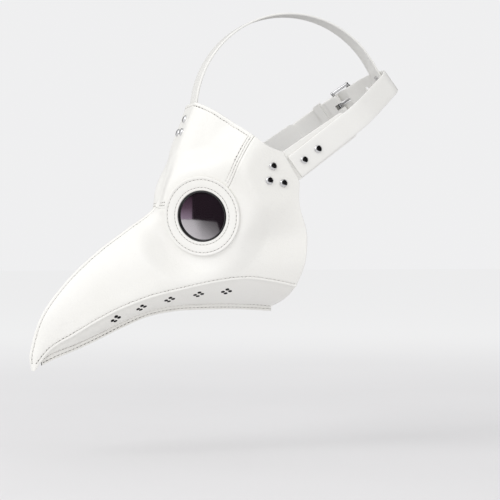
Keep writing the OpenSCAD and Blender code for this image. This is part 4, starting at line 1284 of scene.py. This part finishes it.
def floor_material():
    """Pale paper floor with a barely visible mottling, and painted light: lighter with distance
    from the mask.
    """
    m, tree, shader, where = material("pale_floor", Roughness=1.0, Specular_IOR_Level=0.0)
    cloud = noise(tree, where, Scale=3.0)
    near = blend_colours(tree, cloud.outputs["Fac"], (0.70, 0.695, 0.70), (0.745, 0.74, 0.745))
    # Painted light: the floor grows lighter away from the mask, so its far part, which the lamps
    # barely reach, looks as bright as the sky
    length = add(tree, "ShaderNodeVectorMath", [(0, where)], operation="LENGTH")
    far_painted_light = add(tree, "ShaderNodeMapRange", [("Value", length.outputs["Value"]),
        ("From Min", 0.1), ("From Max", 2.6)], interpolation_type="SMOOTHERSTEP")
    paint(tree, shader, far_painted_light.outputs["Result"], near, (0.885, 0.885, 0.885))
    return m


SQUARE, SQUARE_FACE = np.array([(-1, -1), (1, -1), (1, 1), (-1, 1)]), [(0, 1, 2, 3)]
floor = new_object("floor", [(x, y, FLOOR_Z) for x, y in (14 * SQUARE).tolist()], SQUARE_FACE,
    [floor_material()])

world = bpy.data.worlds.new("studio")
bpy.context.scene.world = world
world.use_nodes = True
nodes, links = world.node_tree.nodes, world.node_tree.links
sky = nodes["Background"]
sky.inputs["Color"].default_value = (0.995, 0.995, 1.0, 1)
sky.inputs["Strength"].default_value = 0.96
# The camera sees a slightly darker paper than the light that the studio gives
paper = nodes.new("ShaderNodeBackground")
paper.inputs["Color"].default_value = (0.865, 0.865, 0.872, 1)
chosen = nodes.new("ShaderNodeMixShader")
links.new(nodes.new("ShaderNodeLightPath").outputs["Is Camera Ray"], chosen.inputs[0])
links.new(sky.outputs[0], chosen.inputs[1])
links.new(paper.outputs[0], chosen.inputs[2])
links.new(chosen.outputs[0], nodes["World Output"].inputs["Surface"])

LOOK_AT = np.array([0, -0.0418, -0.034])
VIEW = math.radians(73)
TOWARDS = np.array([math.sin(VIEW), -math.cos(VIEW), 0.0])
SIDEWAYS = np.array([math.cos(VIEW), math.sin(VIEW), 0.0])
UP = np.array([0, 0, 1.0])
CAMERA = LOOK_AT + 1.6 * TOWARDS


def aim(obj, place, target):
    """Puts a lamp or camera at a place, looking at a target."""
    way = Vector(target) - Vector(place)
    obj.location = place
    obj.rotation_euler = way.to_track_quat("-Z", "Y").to_euler()
    bpy.context.scene.collection.objects.link(obj)


def soft_box(name, place, size, power):
    """Square area lamp aimed at the mask."""
    lamp = bpy.data.lights.new(name, "AREA")
    lamp.shape, lamp.size, lamp.energy = "SQUARE", size, power
    aim(bpy.data.objects.new(name, lamp), place, LOOK_AT)


def studio_point(right, up, towards):
    """Place from the mask's middle, in metres as seen by the camera."""
    return tuple(LOOK_AT + right * SIDEWAYS + up * UP + towards * TOWARDS)


soft_box("key", studio_point(-1.3, 1.25, 1.0), 1.1, 10)
soft_box("fill", studio_point(0.5, -0.12, 1.7), 0.9, 2.2)

# Glowing cards of the studio that only the glass and the studs mirror: painted reflections.
# Each has a colour in every corner and gives that colour off without lighting anything else
reflection_glow = bpy.data.materials.new("card")
reflection_glow.use_nodes = True
nodes, links = reflection_glow.node_tree.nodes, reflection_glow.node_tree.links
nodes.clear()
corner_colour = nodes.new("ShaderNodeVertexColor")
corner_colour.layer_name = "card_colour"
emission = nodes.new("ShaderNodeEmission")
links.new(corner_colour.outputs["Color"], emission.inputs["Color"])
links.new(emission.outputs["Emission"], nodes.new("ShaderNodeOutputMaterial").inputs["Surface"])


def card(name, corners, colours, faces):
    """Glowing card, seen by mirror rays alone: a painted reflection that lights nothing."""
    obj = new_object(name, [tuple(c) for c in corners], faces, [reflection_glow])
    layer = obj.data.color_attributes.new("card_colour", "FLOAT_COLOR", "POINT")
    for k, c in enumerate(colours):
        layer.data[k].color = (*c, 1)
    obj.visible_camera = obj.visible_diffuse = obj.visible_shadow = False
    obj.visible_transmission = False


EYE = EYE_MID * MM
CARD_WAY = unit(np.array([0.586, -0.786, 0]))


def behind_glass(right, up, away):
    """Place in the studio that the camera sees in the left glass, so many millimetres right
    of and above its middle, on a standing card away metres off."""
    seen = EYE + (right * SIDEWAYS + up * UP) * MM
    ray = unit(seen - CAMERA)
    hit = CAMERA + ray * ((EYE - CAMERA) @ EYE_AXIS) / (ray @ EYE_AXIS)
    ray = ray - 2 * (ray @ EYE_AXIS) * EYE_AXIS
    return hit + ray * ((EYE + away * CARD_WAY - hit) @ CARD_WAY) / (ray @ CARD_WAY)


def grey(v):
    """Faintly violet grey."""
    return (v, 0.96 * v, v)


# Painted reflection in the left glass: a dark card, and before it a violet-grey strip on the left
# and a pale one below, all glowing. Each row: name, distance, corners as the glass shows them,
# their colours, faces
VIOLET, PLUM, DARK_REFLECTION = (0.42, 0.26, 0.38), (0.12, 0.06, 0.10), [grey(0.01)] * 4
for name, away, spots, colours, faces in (
        ("dark_card", 0.56, 60 * SQUARE, [grey(0.02)] * 4, SQUARE_FACE),
        ("violet_card", 0.55, ((-30, -3.2), (-10, -3.2), (-10, 8), (-30, 8), (-10, 19),
            (-30, 19)), [(1.5, 1.15, 1.5), (1.3, 0.98, 1.3), VIOLET, VIOLET, PLUM, PLUM],
            [(0, 1, 2, 3), (3, 2, 4, 5)]),
        ("pale_card", 0.54, ((-30, -3.2), (-10, -3.4), (0, -4.3), (14, -5.7), (-30, -26),
            (-10, -26), (0, -26), (20, -26)),
            [grey(v) for v in (3.0, 2.3, 0.75, 0.35, 3.8, 3.3, 2.6, 1.2)],
            [(0, 1, 5, 4), (1, 2, 6, 5), (2, 3, 7, 6)])):
    card(name, [behind_glass(*c, away) for c in spots], colours, faces)
# Tall dark cards, one behind each temple: painted dark reflections on the studs, which also darken
# the leather's sheen
STUD_TURN = 0.9
for side, word in SIDES:
    spot = LOOK_AT + 0.5 * np.array([side * math.cos(STUD_TURN), math.sin(STUD_TURN), 0])
    along = 1.5 * np.array([-side * math.sin(STUD_TURN), math.cos(STUD_TURN), 0])
    card("stud_card_" + word, [spot + a * along + b * UP
        for a, b in ((-1, -0.15), (1, -0.15), (1, 1.3), (-1, 1.3))], DARK_REFLECTION, SQUARE_FACE)
# Small dark card beyond the mask: a painted dark reflection on the studs of the forehead
spot = LOOK_AT + np.array([-0.62, -0.24, 0.27])
card("brow_card", [spot + np.array([0.1 * a, -a, b]) for a, b in (0.22, 0.2) * SQUARE],
    DARK_REFLECTION, SQUARE_FACE)

camera = bpy.data.cameras.new("camera")
camera.lens, camera.sensor_width, camera.clip_start = 115.2, 36, 0.05
view = bpy.data.objects.new("camera", camera)
aim(view, tuple(CAMERA), LOOK_AT)
bpy.context.scene.camera = view
bpy.context.scene.view_settings.view_transform = "Standard"
bpy.context.scene.view_settings.look = "None"
